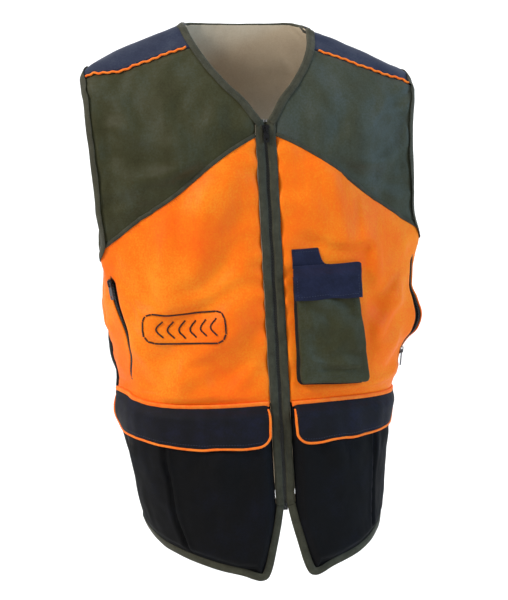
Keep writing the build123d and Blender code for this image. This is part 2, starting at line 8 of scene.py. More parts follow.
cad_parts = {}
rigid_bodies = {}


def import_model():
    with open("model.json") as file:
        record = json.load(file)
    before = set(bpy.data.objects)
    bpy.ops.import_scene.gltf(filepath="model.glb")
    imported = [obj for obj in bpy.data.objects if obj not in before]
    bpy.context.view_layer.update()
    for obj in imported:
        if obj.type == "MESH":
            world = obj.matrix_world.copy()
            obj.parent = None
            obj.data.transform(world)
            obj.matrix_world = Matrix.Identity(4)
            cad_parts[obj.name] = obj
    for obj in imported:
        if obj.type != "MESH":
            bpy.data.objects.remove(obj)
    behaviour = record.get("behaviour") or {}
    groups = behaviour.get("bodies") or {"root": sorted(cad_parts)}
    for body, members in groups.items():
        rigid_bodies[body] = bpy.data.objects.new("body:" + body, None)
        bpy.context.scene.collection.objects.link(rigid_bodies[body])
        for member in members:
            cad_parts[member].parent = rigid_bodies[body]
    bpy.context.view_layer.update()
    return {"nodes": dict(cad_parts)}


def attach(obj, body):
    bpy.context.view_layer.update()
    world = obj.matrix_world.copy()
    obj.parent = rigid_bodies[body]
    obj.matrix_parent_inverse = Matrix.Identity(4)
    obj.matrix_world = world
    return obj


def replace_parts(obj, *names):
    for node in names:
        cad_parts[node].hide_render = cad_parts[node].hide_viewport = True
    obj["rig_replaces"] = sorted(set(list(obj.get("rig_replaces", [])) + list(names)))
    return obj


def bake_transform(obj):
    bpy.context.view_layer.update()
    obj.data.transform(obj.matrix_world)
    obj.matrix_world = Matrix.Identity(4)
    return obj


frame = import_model()

# ---------------------------------------------------------------- body form
# Lengths are millimetres, and heights are from the lower front corner of the hem.
# A place on the garment is (turn, height): turn 0 is the centre front, +pi/2 the wearer's left side.
NECK = 723.0  # height of the back neck edge, the frame's origin
FULL = 2.3  # how square the body's oval section is
FORM = np.array([  # height, half width, depth to the front, depth to the back
    (-40, 152, 125.6, 98), (0, 158, 124, 100), (60, 166, 121.6, 102), (120, 171.5, 119.2, 104),
    (180, 178, 116.8, 106), (240, 187, 114.4, 108), (300, 196.5, 112, 110), (365, 205.5, 109.4, 113),
    (430, 213, 106.8, 116), (500, 221, 104, 118), (560, 228, 101.6, 116), (600, 229, 100, 110),
    (640, 226, 86, 95), (667, 214, 68, 82), (690, 175, 50, 66), (710, 120, 30, 52), (723, 84, 18, 45),
], float)
# Seams and edges of the left half, as (x, height)
NECK_FRONT = [(83, 723), (78, 704), (64, 676), (44, 650), (22, 627), (12, 612), (4, 601)]
NECK_BACK = [(83, 723), (74, 719), (50, 717), (0, 716)]
YOKE_FRONT = [(86, 693), (112, 686), (137, 678), (173, 668), (208, 656)]
YOKE_BACK = [(76, 720), (80, 706), (96, 688), (122, 673), (150, 662), (180, 651), (204, 641)]
CHEST_SEAM = [(13.4, 584), (30, 576), (50, 565), (78, 546), (112, 519), (152, 489), (185, 465), (207, 447)]
FRONT_EDGE = [(3.6, 97), (8, 75), (17, 38), (28, 6)]
HEM = [(28, 6), (60, 8), (90, 16), (122, 27), (150, 39)]
HEM_SIDE = 60.0
STRIP = 13.4  # x of the seam beside a front strip
STRIP_FOOT = 99.0
WAIST = 236.0
BACK_WAIST = 330.0
ARM_MID, ARM_HALF, ARM_DEEP = 550.0, 117.0, 50.0  # the armhole's middle height, half height and half depth
ARM_FOOT = ARM_MID - ARM_HALF
SIDE = math.pi / 2
FASTENER_LOW, FASTENER_HIGH = 270.0, 406.0  # ends of a side fastener


def pchip(xs, ys, x):
    h = np.diff(xs)
    d = np.diff(ys) / h
    m = np.zeros(len(xs))
    m[0], m[-1] = d[0], d[-1]
    same = d[:-1] * d[1:] > 0
    m[1:-1] = np.where(same, 2 * d[:-1] * d[1:] / np.where(same, d[:-1] + d[1:], 1), 0)
    x = np.clip(x, xs[0], xs[-1])
    i = np.clip(np.searchsorted(xs, x, side="right") - 1, 0, len(xs) - 2)
    t = (x - xs[i]) / h[i]
    return ((2 * t**3 - 3 * t**2 + 1) * ys[i] + (t**3 - 2 * t**2 + t) * h[i] * m[i]
            + (3 * t**2 - 2 * t**3) * ys[i + 1] + (t**3 - t**2) * h[i] * m[i + 1])


def sizes(z):
    return [pchip(FORM[:, 0], FORM[:, k], z) for k in (1, 2, 3)]


def power(value, exponent):
    return np.sign(value) * np.abs(value) ** exponent


def pair(*columns):
    return np.stack(np.broadcast_arrays(*columns), -1)


def form(turn, z):
    """Points of the plain body form."""
    turn, z = np.broadcast_arrays(np.asarray(turn, float), np.asarray(z, float))
    a, f, b = sizes(z)
    s, c = np.sin(turn), np.cos(turn)
    y = np.where(c > 0, -f, b) * np.abs(c) ** (2 / FULL)
    return pair(a * power(s, 2 / FULL), y, z)


def by_x(x, z, back=False):
    """Turn of the front (or back) place with this x."""
    a = sizes(np.asarray(z, float))[0]
    t = np.arcsin(np.clip(np.abs(x) / a, 0, 1) ** (FULL / 2)) * np.sign(x)
    return np.where(np.sign(x) < 0, -np.pi, np.pi) - t if back else t


def by_y(y, z):
    """Turn of the left-side place with this y."""
    _, f, b = sizes(np.asarray(z, float))
    front, rear = (np.arccos(np.clip(np.abs(y) / deep, 0, 1) ** (FULL / 2)) for deep in (f, b))
    return np.where(y < 0, front, np.pi - rear)


def along(p):
    """Distance of each point of a line from its start."""
    return np.r_[0, np.cumsum(np.linalg.norm(np.diff(p, axis=0), axis=1))]


def spaced(p, values, count):
    """The values at even steps along the points p."""
    s = along(p)
    out = np.linspace(0, s[-1], count)
    return pair(*(np.interp(out, s, column) for column in values.T))


def smooth(points, count):
    """Points evenly along a smooth line through the given ones."""
    p = np.asarray(points, float)
    if len(p) > 2:
        s = along(p)
        fine = np.linspace(0, s[-1], 40 * len(p))
        p = pair(*(pchip(s, column, fine) for column in p.T))
    return spaced(p, p, count)


def front_line(points, count=80):
    """(x, height) seen from the front, as (turn, height)."""
    x, z = smooth(points, count).T
    return pair(by_x(x, z), z)


def back_line(points, count=80):
    x, z = smooth(points, count).T
    return pair(by_x(np.maximum(x, 1e-6), z, True), z)


def armhole(start, end, count=80):
    """The left armhole's edge between two angles: 0 is the back, 90 the top, 180 the front, 270 the bottom."""
    t = np.radians(np.linspace(start, end, count))
    z = ARM_MID + ARM_HALF * power(np.sin(t), 0.80)
    return pair(by_y(ARM_DEEP * power(np.cos(t), 0.72), z), z)


def arm_round(y, z):
    """1 at the armhole's edge, less inside it."""
    return (np.abs(y) / ARM_DEEP) ** 2.7 + (np.abs(z - ARM_MID) / ARM_HALF) ** 2.5


def sided(line, sign):
    """A line of the left half, mirrored where sign is -1."""
    return line if sign > 0 else line * np.array([-1, 1])


def join(*lines):
    return np.concatenate([lines[0]] + [line[1:] for line in lines[1:]])


def even(line, count):
    """The line cut into even steps on the garment."""
    return spaced(form(line[:, 0], line[:, 1]), line, count)


def length(line):
    return float(along(form(line[:, 0], line[:, 1]))[-1])
    return float(np.linalg.norm(np.diff(p, axis=0), axis=1).sum())


# ---------------------------------------------------------------- folds of the worn cloth
GRID_T = np.linspace(-math.pi, math.pi, 169)
GRID_Z = np.linspace(-8, 722, 113)
folds = np.zeros((len(GRID_T), len(GRID_Z), 3))


def look_up(field, turn, z):
    turn = (np.asarray(turn, float) + math.pi) % (2 * math.pi) - math.pi
    u = (turn + math.pi) / (2 * math.pi) * (len(GRID_T) - 1)
    v = (np.clip(z, GRID_Z[0], GRID_Z[-1]) - GRID_Z[0]) / (GRID_Z[-1] - GRID_Z[0]) * (len(GRID_Z) - 1)
    i = np.clip(u.astype(int), 0, len(GRID_T) - 2)
    j = np.clip(v.astype(int), 0, len(GRID_Z) - 2)
    fu, fv = (u - i)[..., None], (v - j)[..., None]
    fu, fv = fu * fu * (3 - 2 * fu), fv * fv * (3 - 2 * fv)
    return ((1 - fu) * (1 - fv) * field[i, j] + fu * (1 - fv) * field[i + 1, j]
            + (1 - fu) * fv * field[i, j + 1] + fu * fv * field[i + 1, j + 1])


def ramp(x, a, b):
    """0 below a, 1 above b and smooth between."""
    t = np.clip((x - a) / (b - a), 0, 1)
    return t * t * (3 - 2 * t)


def band(x, a, b, c, d):
    """Rises from a to b and falls from c to d."""
    return ramp(x, a, b) * (1 - ramp(x, c, d))


def bell(x, width):
    return np.exp(-((x / width) ** 2))


def noise_at(points, scale, seed):
    flat = points.reshape(-1, 3)
    shift = Vector((seed * 17.3, seed * 5.1, seed * 9.7))
    out = np.array([noise.noise(Vector(p) / scale + shift) for p in flat])
    return out.reshape(points.shape[:-1])


def relief(turn, z):
    """Fine puckers beside the front strips and slow undulation, outwards."""
    p = form(turn, z)
    off, way = np.abs(p[..., 0]), np.sign(p[..., 0])
    front = ramp(-p[..., 1], 20, 70)
    edge = np.exp(-np.maximum(off - 13, 0) / 13) * ramp(off, 10, 15) * front
    wave = np.sin(z / 5.2 + 2.2 * np.sin(z / 31.0) + way * 1.3) + 0.6 * np.sin(z / 9.7 + 1.0)
    fade = band(z, 245, 265, 575, 600) + 0.25 * band(z, 80, 130, 245, 265)
    phase = way * 37  # the two sides differ
    tilt = z * 0.62 + off * 0.75
    broad = (1.5 * np.sin(tilt / 13.5 + 1.4 * np.sin(z / 47 + phase) + phase)
             + 1.1 * np.sin((z - 0.9 * off) / 21 + phase))
    area = band(off, 14, 60, 165, 195) * front
    below = band(z, 238, 290, 520, 560)
    above = 0.55 * band(z, 480, 540, 625, 655)
    streak = np.sin(off / 9.5 + 1.2 * np.sin(z / 40) + phase) * area * above
    pocket = band(p[..., 0], 16, 34, 124, 144) * band(z, 238, 256, 424, 444)
    return 1.7 * edge * wave * fade + 2.3 * broad * area * below * (1 - 0.9 * pocket) + 3.0 * streak


# How far a flank or the skirt stands out at a height, as (height, out)
LEFT_FLANK = [(262, 0), (278, 3), (290, 10), (303, 23), (320, 28), (345, 19), (367, 9), (395, 8), (420, 7), (445, 3),
              (470, -2), (500, -3), (540, 0)]
RIGHT_FLANK = [(150, 0), (211, -4), (263, -6.5), (315, -4.5), (367, -5), (395, 0), (420, 6), (445, 2), (470, 0)]
LEFT_SKIRT = [(0, -9), (55, -8), (107, -5), (160, -5), (211, 0)]


def curve(table, z):
    heights, out = np.array(table, float).T
    return pchip(heights, out, z)


def hang(p):
    """How the worn garment sits: skirt towards the right, a bowed left flank, neck raised, left shoulder low."""
    x, y, z = p[..., 0], p[..., 1], p[..., 2]
    off, right = np.abs(x), x < 0
    low = np.where(right, -9.5, -7.0) * band(z, 20, 110, 215, 262) * ramp(off, 20, 140)
    behind = y + 31  # the bow's ridge is a little in front of the side seam
    ridge = np.where(behind < 0, 0.45 * bell(behind, 45) + 0.55 * bell(behind, 15), bell(behind, 34))
    belly = (curve(LEFT_FLANK, z) * ridge * ramp(x, 100, 150)
             + curve(RIGHT_FLANK, z) * ramp(y, -30, 10) * ramp(-x, 100, 150)
             + curve(LEFT_SKIRT, z) * ramp(x, 100, 160))
    top = ramp(z, 600, 715)
    up = (3.0 - 0.045 * x) * top + 9.0 * ramp(y, -10, 50) * ramp(z, 660, 716) * (1 - ramp(off, 60, 110))
    arm = ramp(off, 110, 190) * band(z, 440, 500, 668, 712)
    fore = (np.where(right, -11.0, 1.0 - 5 * band(z, 500, 560, 590, 640)) * ramp(-y, 2, 30)
            + np.where(right, 8.0, -4.0) * ramp(y, 2, 30))
    rim = (1 - ramp(arm_round(y, z), 1.0, 2.4)) * ramp(-y, 0, 25) * ramp(off, 120, 165)
    down = ((6 * ramp(x, 70, 95) + 8 * ramp(x, 95, 200)) * ramp(z, 600, 665)
            + 3 * ramp(-x, 90, 190) * ramp(z, 620, 680))
    across = low + belly - 3.5 * top * ramp(-x, 60, 190) + fore * arm + np.sign(x) * 4.0 * rim
    return pair(across, -11.0 * rim, up - down)


def cloth(turn, z):
    p = form(turn, z)
    return p + look_up(folds, turn, z) + hang(p)


def normals(turn, z):
    e = 0.012
    du = cloth(turn + e, z) - cloth(turn - e, z)
    dv = cloth(turn, z + 2.2) - cloth(turn, z - 2.2)
    n = np.cross(du, dv)
    size = np.linalg.norm(n, axis=-1, keepdims=True)
    return n / np.maximum(size, 1e-9)


def place(turn, z, out=0.0):
    """Points of the folded cloth, moved outwards by out."""
    turn, z = np.broadcast_arrays(np.asarray(turn, float), np.asarray(z, float))
    lift = relief(turn, z) + out
    return cloth(turn, z) + normals(turn, z) * np.asarray(lift)[..., None]


def to_frame(points):
    """Points in the frame's metres, from its origin."""
    return (np.array(points, float).reshape(-1, 3) - np.array([0, 0, NECK])) * 0.001


def add_object(name, data):
    obj = bpy.data.objects.new(name, data)
    bpy.context.scene.collection.objects.link(obj)
    return obj


def make(name, points, faces, material, body="vest", shade=True, merge=0.0, node=None):
    """A piece that rides on a body and stands for a node of the frame."""
    mesh = bpy.data.meshes.new(name)
    mesh.from_pydata([tuple(p) for p in to_frame(points)], [], [tuple(int(i) for i in f) for f in faces])
    mesh.validate()
    obj = add_object(name, mesh)
    if merge:
        bm = bmesh.new()
        bm.from_mesh(mesh)
        bmesh.ops.remove_doubles(bm, verts=bm.verts, dist=merge * 0.001)
        bmesh.ops.recalc_face_normals(bm, faces=bm.faces)
        bm.to_mesh(mesh)
        bm.free()
    mesh.polygons.foreach_set("use_smooth", [shade] * len(mesh.polygons))
    mesh.materials.append(material)
    if body:
        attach(obj, body)
    if node:
        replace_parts(obj, node)
    return obj


WIDEST = 226.0


def spread_out(line):
    """Back places by how far they stand from the middle, so that lines near the neck stay in order."""
    x = form(line[..., 0], line[..., 1])[..., 0]
    u = math.pi - np.sign(x) * np.arcsin(np.clip(np.abs(x) / WIDEST, 0, 1) ** (FULL / 2))
    return np.stack([np.where(line[..., 1] > 640, u, line[..., 0]), line[..., 1]], -1)


def drawn_in(grid):
    off = math.pi - grid[..., 0]
    x = WIDEST * np.abs(np.sin(off)) ** (2 / FULL)
    a = sizes(grid[..., 1])[0]
    turn = math.pi - np.sign(off) * np.arcsin(np.clip(x / a, 0, 1) ** (FULL / 2))
    return np.stack([np.where(grid[..., 1] > 640, turn, grid[..., 0]), grid[..., 1]], -1)


def coons(bottom, top, left, right, step=4.5, spread=False):
    """Grid of (turn, height) inside four border lines. left and right run from bottom to top."""
    across = max(length(bottom), length(top))
    up = max(length(left), length(right))
    n, m = max(4, int(across / step)), max(4, int(up / step))
    b, t = even(bottom, n), even(top, n)
    l, r = even(left, m), even(right, m)
    if spread:
        b, t, l, r = (spread_out(q) for q in (b, t, l, r))
    s = np.linspace(0, 1, n)[:, None, None]
    v = np.linspace(0, 1, m)[None, :, None]
    ruled = (1 - v) * b[:, None] + v * t[:, None] + (1 - s) * l[None] + s * r[None]
    corner = (1 - s) * (1 - v) * b[0] + s * (1 - v) * b[-1] + (1 - s) * v * t[0] + s * v * t[-1]
    grid = ruled - corner
    grid[:, 0], grid[:, -1], grid[0], grid[-1] = b, t, l, r
    if spread:
        grid = drawn_in(grid)
    near = np.minimum(np.minimum(s[..., 0], 1 - s[..., 0]) * across, np.minimum(v[..., 0], 1 - v[..., 0]) * up)
    return grid, near


def quads(n, m, skip=None):
    """Faces of an n by m grid of points, but not those of the column skip."""
    return [(i * m + j, (i + 1) * m + j, (i + 1) * m + j + 1, i * m + j + 1)
            for i in range(n - 1) if i != skip for j in range(m - 1)]


def tube_faces(count, sides):
    """Faces of a closed tube of count rings."""
    faces = []
    for i in range(count - 1):
        for j in range(sides):
            a, b = i * sides + j, i * sides + (j + 1) % sides
            faces.append((a, b, b + sides, a + sides))
    return faces + [tuple(range(sides))[::-1], tuple(range((count - 1) * sides, count * sides))]


def closed(outer, inner, faces):
    """Closes a sheet: outer side, inner side and a wall on every free edge."""
    outer, inner = outer.reshape(-1, 3), inner.reshape(-1, 3)
    count = len(outer)
    used = dict.fromkeys(edge for f in faces for edge in zip(f, f[1:] + f[:1]))
    walls = [(a, b) for a, b in used if (b, a) not in used]
    body = list(faces) + [tuple(i + count for i in f[::-1]) for f in faces]
    body += [(b, a, a + count, b + count) for a, b in walls]
    return np.concatenate([outer, inner]), body


FLATS = []  # cloth pieces as (object, flat width, flat length, area), in metres
SPLIT_REACH = 12  # columns on each side that make way for an opening


def panel(name, borders, material, outer=0.0, thick=1.7, sunk=1.0, step=4.5, extra=None, split=None, spread=False):
    """A closed sheet inside four border lines that stands for the node of that name."""
    grid, near = coons(*borders, step=step, spread=spread)
    turn, z = grid[..., 0].copy(), grid[..., 1].copy()
    n, m = turn.shape
    column = None
    if split:
        column, half = split(turn, z)
        turn, z, near = (np.insert(q, column, q[column], axis=0) for q in (turn, z, near))
        gap = half(turn[column], z[column])
        gap = np.where(np.abs(gap) < 0.08, 0.0, gap)
        depth = sizes(z[column])[1]
        for k in range(SPLIT_REACH):
            turn[column - k] -= gap / depth * (1 - k / SPLIT_REACH) ** 1.3
            turn[column + 1 + k] += gap / depth * (1 - k / SPLIT_REACH) ** 1.3
        n += 1
    lift = outer - sunk * np.exp(-near / 3.0)
    if extra is not None:
        lift = lift + extra(turn, z, near)
    back = place(turn, z, np.full_like(turn, outer - thick - 0.2))
    points, faces = closed(place(turn, z, lift), back, quads(n, m, column))
    if split:
        # outside the opening both copies of the split column meet, so their walls are dropped
        shut = {j for j in range(m) if gap[j] == 0}

        def dropped(face):
            base = {i % (n * m) for i in face}
            columns, heights = {i // m for i in base}, {i % m for i in base}
            return len(base) == 2 and columns in ({column}, {column + 1}) and heights <= shut

        faces = [f for f in faces if not dropped(f)]
    obj = make(f"{name}_cloth", points, faces, material, merge=0.02, node=name)
    flat_w, flat_l = (max(length(borders[k]), length(borders[k + 1])) / 1000 for k in (0, 2))
    FLATS.append((obj, flat_w, flat_l, area_of(place(turn, z)) / 1e6))


def area_of(p):
    a = p[1:, :-1] - p[:-1, :-1]
    b = p[:-1, 1:] - p[:-1, :-1]
    return float(np.linalg.norm(np.cross(a, b), axis=-1).sum())


def heading(path):
    """Unit directions along a path."""
    t = np.gradient(path, axis=0)
    return t / np.linalg.norm(t, axis=1, keepdims=True)


def sweep(name, line, profile, material, inward=1.0, wave=None, step=3.0, node=None):
    """A closed profile of (inwards, outwards) offsets drawn along a line on the cloth."""
    turn, z = even(line, max(3, int(length(line) / step))).T
    base, n = place(turn, z), normals(turn, z)
    side = np.cross(n, heading(base)) * inward
    rings = []
    for i in range(len(base)):
        w, h = np.array(profile, float).T
        if wave is not None:
            dw, dh = wave(i * step)
            w, h = w + dw, h + dh * np.clip(h, 0, 2)
        rings.append(base[i] + side[i] * w[:, None] + n[i] * h[:, None])
    make(name, np.concatenate(rings), tube_faces(len(base), len(profile)), material, merge=0.001, node=node)


def loop_profile(width, face, back, thick=0.7):
    """Cross section of a binding folded round an edge at 0."""
    outer = [(width, face - 0.5), (width - 0.6, face), (width * 0.5, face + 0.25), (1.2, face)]
    mid, half = (face + back) / 2, (face - back) / 2
    for angle in np.radians((60, 30, 0, -30, -60)):
        outer.append((-1.6 * math.cos(angle) + 0.2, mid + half * math.sin(angle)))
    outer += [(1.2, back), (width - 0.8, back)]
    inner = [(width - 0.8, back + thick), (1.4, back + thick), (0.2, mid), (1.4, face - thick),
             (width - 0.2, face - 0.6 - thick * 0.3)]
    return outer + inner


def circle(sides):
    return [(math.cos(2 * math.pi * k / sides), math.sin(2 * math.pi * k / sides)) for k in range(sides)]


STITCH_RINGS = ((0.0, 0.35, -0.25), (0.25, 1.0, 0.0), (0.75, 1.0, 0.0), (1.0, 0.35, -0.25))  # along, radius, out
STITCH_FACES = tube_faces(4, 4)
stitch_rows = {}


def stitches(line, thread, offset=0.0, out=0.5, inward=1.0, radius=0.32):
    """A row of sewn stitches beside a line; rows of one thread become one piece."""
    turn, z = even(line, max(3, int(length(line)))).T
    base, n = place(turn, z, out), normals(turn, z)
    rows(base + np.cross(n, heading(base)) * inward * offset, n, thread, radius=radius)


def rows(path, n, thread, pitch=3.6, long=2.5, radius=0.32, body="vest"):
    """Stitches along a path, n being its outward directions."""
    s = along(path)
    points, faces = stitch_rows.setdefault((thread, body), ([], []))
    for a in np.arange(pitch * 0.4, s[-1] - pitch, pitch):
        start, end, up = (np.array([np.interp(q, s, field[:, k]) for k in range(3)])
                          for q, field in ((a, path), (a + long, path), (a, n)))
        up /= max(np.linalg.norm(up), 1e-9)
        way = end - start
        across = np.cross(up, way / max(np.linalg.norm(way), 1e-9))
        first = len(points)
        for part, wide, sink in STITCH_RINGS:
            centre = start + way * part + up * sink
            for angle in np.radians((45, 135, 225, 315)):
                points.append(centre + (across * math.cos(angle) + up * math.sin(angle)) * radius * wide)
        faces += [tuple(first + i for i in face) for face in STITCH_FACES]


def teeth(name, centres, across, out, up, plate, half, taper=1.0, node=None):
    """A chain of blocks whose outline plate, (towards the tip, outwards), points left and right in turn."""
    corners, blocks = [], []
    for k, centre in enumerate(centres):
        way = 1 if k % 2 else -1
        first = len(corners)
        for side_up in (-half, half):
            for x, h in plate:
                tall = side_up * (taper if x > 0 else 1)
                corners.append(centre + across[k] * x * way + out[k] * h + up[k] * tall)
        blocks += [tuple(first + i for i in face) for face in tube_faces(2, len(plate))]
    make(name, np.array(corners), blocks, TEETH, shade=False, node=node)


# ---------------------------------------------------------------- materials
def srgb(*colour):
    return tuple((c / 255 / 12.92) if c / 255 <= 0.04045 else ((c / 255 + 0.055) / 1.055) ** 2.4 for c in colour) + (1,)


def shader(name):
    """A material, and add(kind, ...), which adds a node or fills the shader's own sockets, by name or by _number."""
    mat = bpy.data.materials.new(name)
    mat.use_nodes = True
    tree = mat.node_tree

    def add(kind, **sockets):
        node = tree.nodes[kind] if kind == "Principled BSDF" else tree.nodes.new("ShaderNode" + kind)
        for key, value in sockets.items():
            socket = node.inputs[int(key[1:]) if key[0] == "_" else key.replace("_", " ")]
            if isinstance(value, bpy.types.NodeSocket):
                tree.links.new(value, socket)
            else:
                socket.default_value = value
        return node

    return mat, add


def maths(add, operation, *values):
    node = add("Math", **{f"_{k}": value for k, value in enumerate(values)})
    node.operation = operation
    return node.outputs[0]


def coloured(add, amount, first, last, *between):
    """A colour ramp along amount through (position, colour) marks."""
    node = add("ValToRGB", Fac=amount)
    marks = node.color_ramp.elements
    for mark, (position, colour) in zip(marks, (first, last)):
        mark.position, mark.color = position, colour
    for position, colour in between:
        marks.new(position).color = colour
    return node.outputs["Color"]


def cloth_material(name, dark, mid, light, rough=0.86, sheen=0.25, mottle=0.045, bump=0.25, tint=None, spec=0.25,
                   stretch=(1, 1, 1)):
    """Twill whose colour varies in broad soft patches of about mottle metres and in a fine grain; in the orange and
    olive cloths the broad patches are also painted sheen and shade.
    """
    mat, add = shader(name)
    at = add("TexCoord").outputs["Object"]
    stretched = add("Mapping", Vector=at, Scale=stretch).outputs["Vector"]
    big = add("TexNoise", Vector=stretched, Scale=1 / mottle, Detail=5, Roughness=0.6).outputs["Fac"]
    fine = add("TexNoise", Vector=at, Scale=420, Detail=3).outputs["Fac"]
    amount = maths(add, "MULTIPLY_ADD", fine, 0.35, maths(add, "MULTIPLY", big, 0.65))
    colour = coloured(add, amount, (0.34, srgb(*dark)), (0.66, srgb(*light)), (0.5, srgb(*mid)))
    twill = add("TexWave", Vector=at, Scale=1000 / 0.9 / 20, Distortion=1.5, Detail=2)
    twill.bands_direction = "DIAGONAL"
    height = maths(add, "ADD", twill.outputs["Fac"], fine)
    normal = add("Bump", Strength=bump, Distance=0.0004, Height=height).outputs["Normal"]
    bsdf = add("Principled BSDF", Base_Color=colour, Normal=normal, Roughness=rough, Sheen_Weight=sheen,
               Sheen_Roughness=0.5, Specular_IOR_Level=spec)
    if tint:
        bsdf.inputs["Sheen Tint"].default_value = srgb(*tint)
    return mat


def solid_material(name, colour, rough=0.5, metal=0.0, bump=0.1, scale=300):
    mat, add = shader(name)
    grain = add("TexNoise", Vector=add("TexCoord").outputs["Object"], Scale=scale, Detail=4).outputs["Fac"]
    full = srgb(*colour)
    normal = add("Bump", Strength=bump, Distance=0.0002, Height=grain).outputs["Normal"]
    dark = tuple(c * 0.75 for c in full[:3]) + (1,)
    add("Principled BSDF", Base_Color=coloured(add, grain, (0.3, dark), (0.7, full)), Normal=normal, Roughness=rough,
        Metallic=metal)
    return mat


# The orange's broad patches, from deep to pale orange, are painted satin sheen and shade as well as the cloth's own
# tone.
ORANGE = cloth_material("orange_twill", (255, 98, 0), (255, 118, 1), (255, 144, 24), rough=0.6, sheen=0.02,
                        mottle=0.1, spec=0.2, bump=0.15)
# The olive's patches, stretched upright into streaks, are painted fold shade mixed with the cloth's own mottled tone.
OLIVE = cloth_material("olive_oxford", (46, 43, 16), (56, 55, 30), (64, 67, 52), rough=0.62, sheen=0.08,
                       mottle=0.035, tint=(150, 166, 172), spec=0.22, stretch=(1, 1, 0.55), bump=0.12)
# A bluer, lighter copy of the olive cloth, not a different fabric: painted light from the bluish fill on the wearer's
# left chest panel. Its upright streaks are painted fold shade, as in the olive.
OLIVE_PAINTED_BLUE_LIGHT = cloth_material("olive_oxford_cool", (48, 48, 26), (58, 62, 46), (68, 74, 68), rough=0.62, sheen=0.1,
                            tint=(140, 170, 205), spec=0.3, stretch=(1, 1, 0.5), bump=0.12)
OLIVE_TRIM = cloth_material("olive_binding", (46, 45, 31), (57, 56, 42), (68, 67, 52), rough=0.7, mottle=0.012,
                            sheen=0.08)
NAVY = cloth_material("navy_twill", (2, 2, 3), (4, 4, 6), (7, 9, 20), rough=0.8, sheen=0.0, mottle=0.04,
                      tint=(90, 110, 190), spec=0.18, bump=0.15)
NAVY_FLAP = cloth_material("navy_flap", (12, 12, 15), (16, 16, 25), (21, 23, 42), rough=0.75, sheen=0.03,
                           mottle=0.03, spec=0.18, bump=0.15)
NAVY_CHEST = cloth_material("navy_chest_flap", (17, 20, 40), (24, 28, 52), (31, 36, 62), rough=0.75, sheen=0.03,
                            mottle=0.02, spec=0.18, bump=0.15)
NAVY_GREY = cloth_material("navy_yoke", (30, 36, 56), (40, 46, 66), (54, 60, 76), rough=0.7, sheen=0.08,
                           mottle=0.03, tint=(180, 190, 210), spec=0.2, bump=0.12)
# Lighter than the lining cloth itself, so that the shaded inside reads bright: painted light.
TAUPE = cloth_material("taupe_lining", (178, 160, 137), (186, 169, 145), (193, 177, 153), rough=0.9, sheen=0.05,
                       mottle=0.06)
PIPING = cloth_material("orange_piping", (255, 104, 12), (255, 122, 26), (255, 140, 44), rough=0.7, mottle=0.01,
                        sheen=0.03)
TAPE = cloth_material("tape_black", (8, 8, 9), (12, 12, 13), (18, 18, 20), rough=0.8, mottle=0.006, sheen=0.02,
                      spec=0.15)
# Near-black cloth for the chest pocket's bellows walls: painted shade where the walls turn away into shadow.
POCKET_WALL_SHADE = cloth_material("pocket_gusset", (14, 15, 16), (20, 21, 22), (28, 29, 30), rough=0.8, sheen=0.02, mottle=0.02)
THREAD_OLIVE = solid_material("thread_olive", (52, 54, 38), 0.6)
THREAD_ORANGE = solid_material("thread_orange", (238, 92, 14), 0.6)
THREAD_MARK = solid_material("thread_mark", (40, 10, 10), 0.6)
THREAD_NAVY = solid_material("thread_navy", (50, 54, 80), 0.6)
TEETH = solid_material("teeth_black", (26, 26, 28), 0.35)
METAL = solid_material("dark_metal", (58, 58, 60), 0.28, 1.0)
BRIGHT = solid_material("bright_metal", (190, 190, 192), 0.25, 1.0)
RUBBER = solid_material("grey_rubber", (84, 86, 92), 0.55)
VELCRO = solid_material("hook_and_loop", (26, 27, 36), 0.9, bump=0.6, scale=900)


# ---------------------------------------------------------------- border lines
def side(z0, z1, count=60):
    return pair(SIDE, np.linspace(z0, z1, count))


def upright(x, z0, z1, count=60):
    z = np.linspace(z0, z1, count)
    return pair(by_x(np.full(count, x), z), z)


def waist_height(sign, t):
    """The waist seam droops towards the left side and climbs towards the right one."""
    if sign > 0:
        return WAIST - 4 - 9 * ramp(t, 0.1, 1.5)
    return WAIST - 1 + 4 * ramp(t, 0.2, 1.2) + 12 * ramp(t, 0.95, 1.57)


def waist(sign, x0, count=80):
    """The waist seam from x0 to the side seam."""
    t = np.linspace(float(by_x(x0, WAIST)), SIDE, count)
    return pair(t, waist_height(sign, t))


def meet(line, point, count, at_start=False):
    """Bends the last (or first) points of a line so that it ends at a point."""
    if at_start:
        line[:count] += (point - line[0]) * np.linspace(1, 0, count)[:, None]
    else:
        line[-count:] += (point - line[-1]) * np.linspace(0, 1, count)[:, None]


# Angles on the armhole where the seams meet it; the right yoke starts lower
ARM_SEAM, ARM_YOKE, ARM_YOKE_RIGHT, ARM_YOKE_BACK = 241.5, 127.0, 114.0, 46.0
YOKE_RIGHT_END = 667
neck_front = front_line(NECK_FRONT)
neck_back = back_line(NECK_BACK)
chest_seam = front_line(CHEST_SEAM)
meet(chest_seam, armhole(ARM_SEAM, ARM_YOKE)[0], 8)
cut = int(np.argmin(np.abs(smooth(NECK_FRONT, 80)[:, 1] - YOKE_FRONT[0][1])))
cut_back = 8


def shoulder_lines(low, angle):
    """The yoke's front seam and the chest panel's and the yoke's armhole edges of one side."""
    arm = armhole(ARM_SEAM, angle)
    yoke = front_line(YOKE_FRONT[:-1] + [(YOKE_FRONT[-1][0], low)])
    meet(yoke, arm[-1], 10)
    yoke[0] = neck_front[cut]
    return yoke, arm, armhole(angle, ARM_YOKE_BACK)


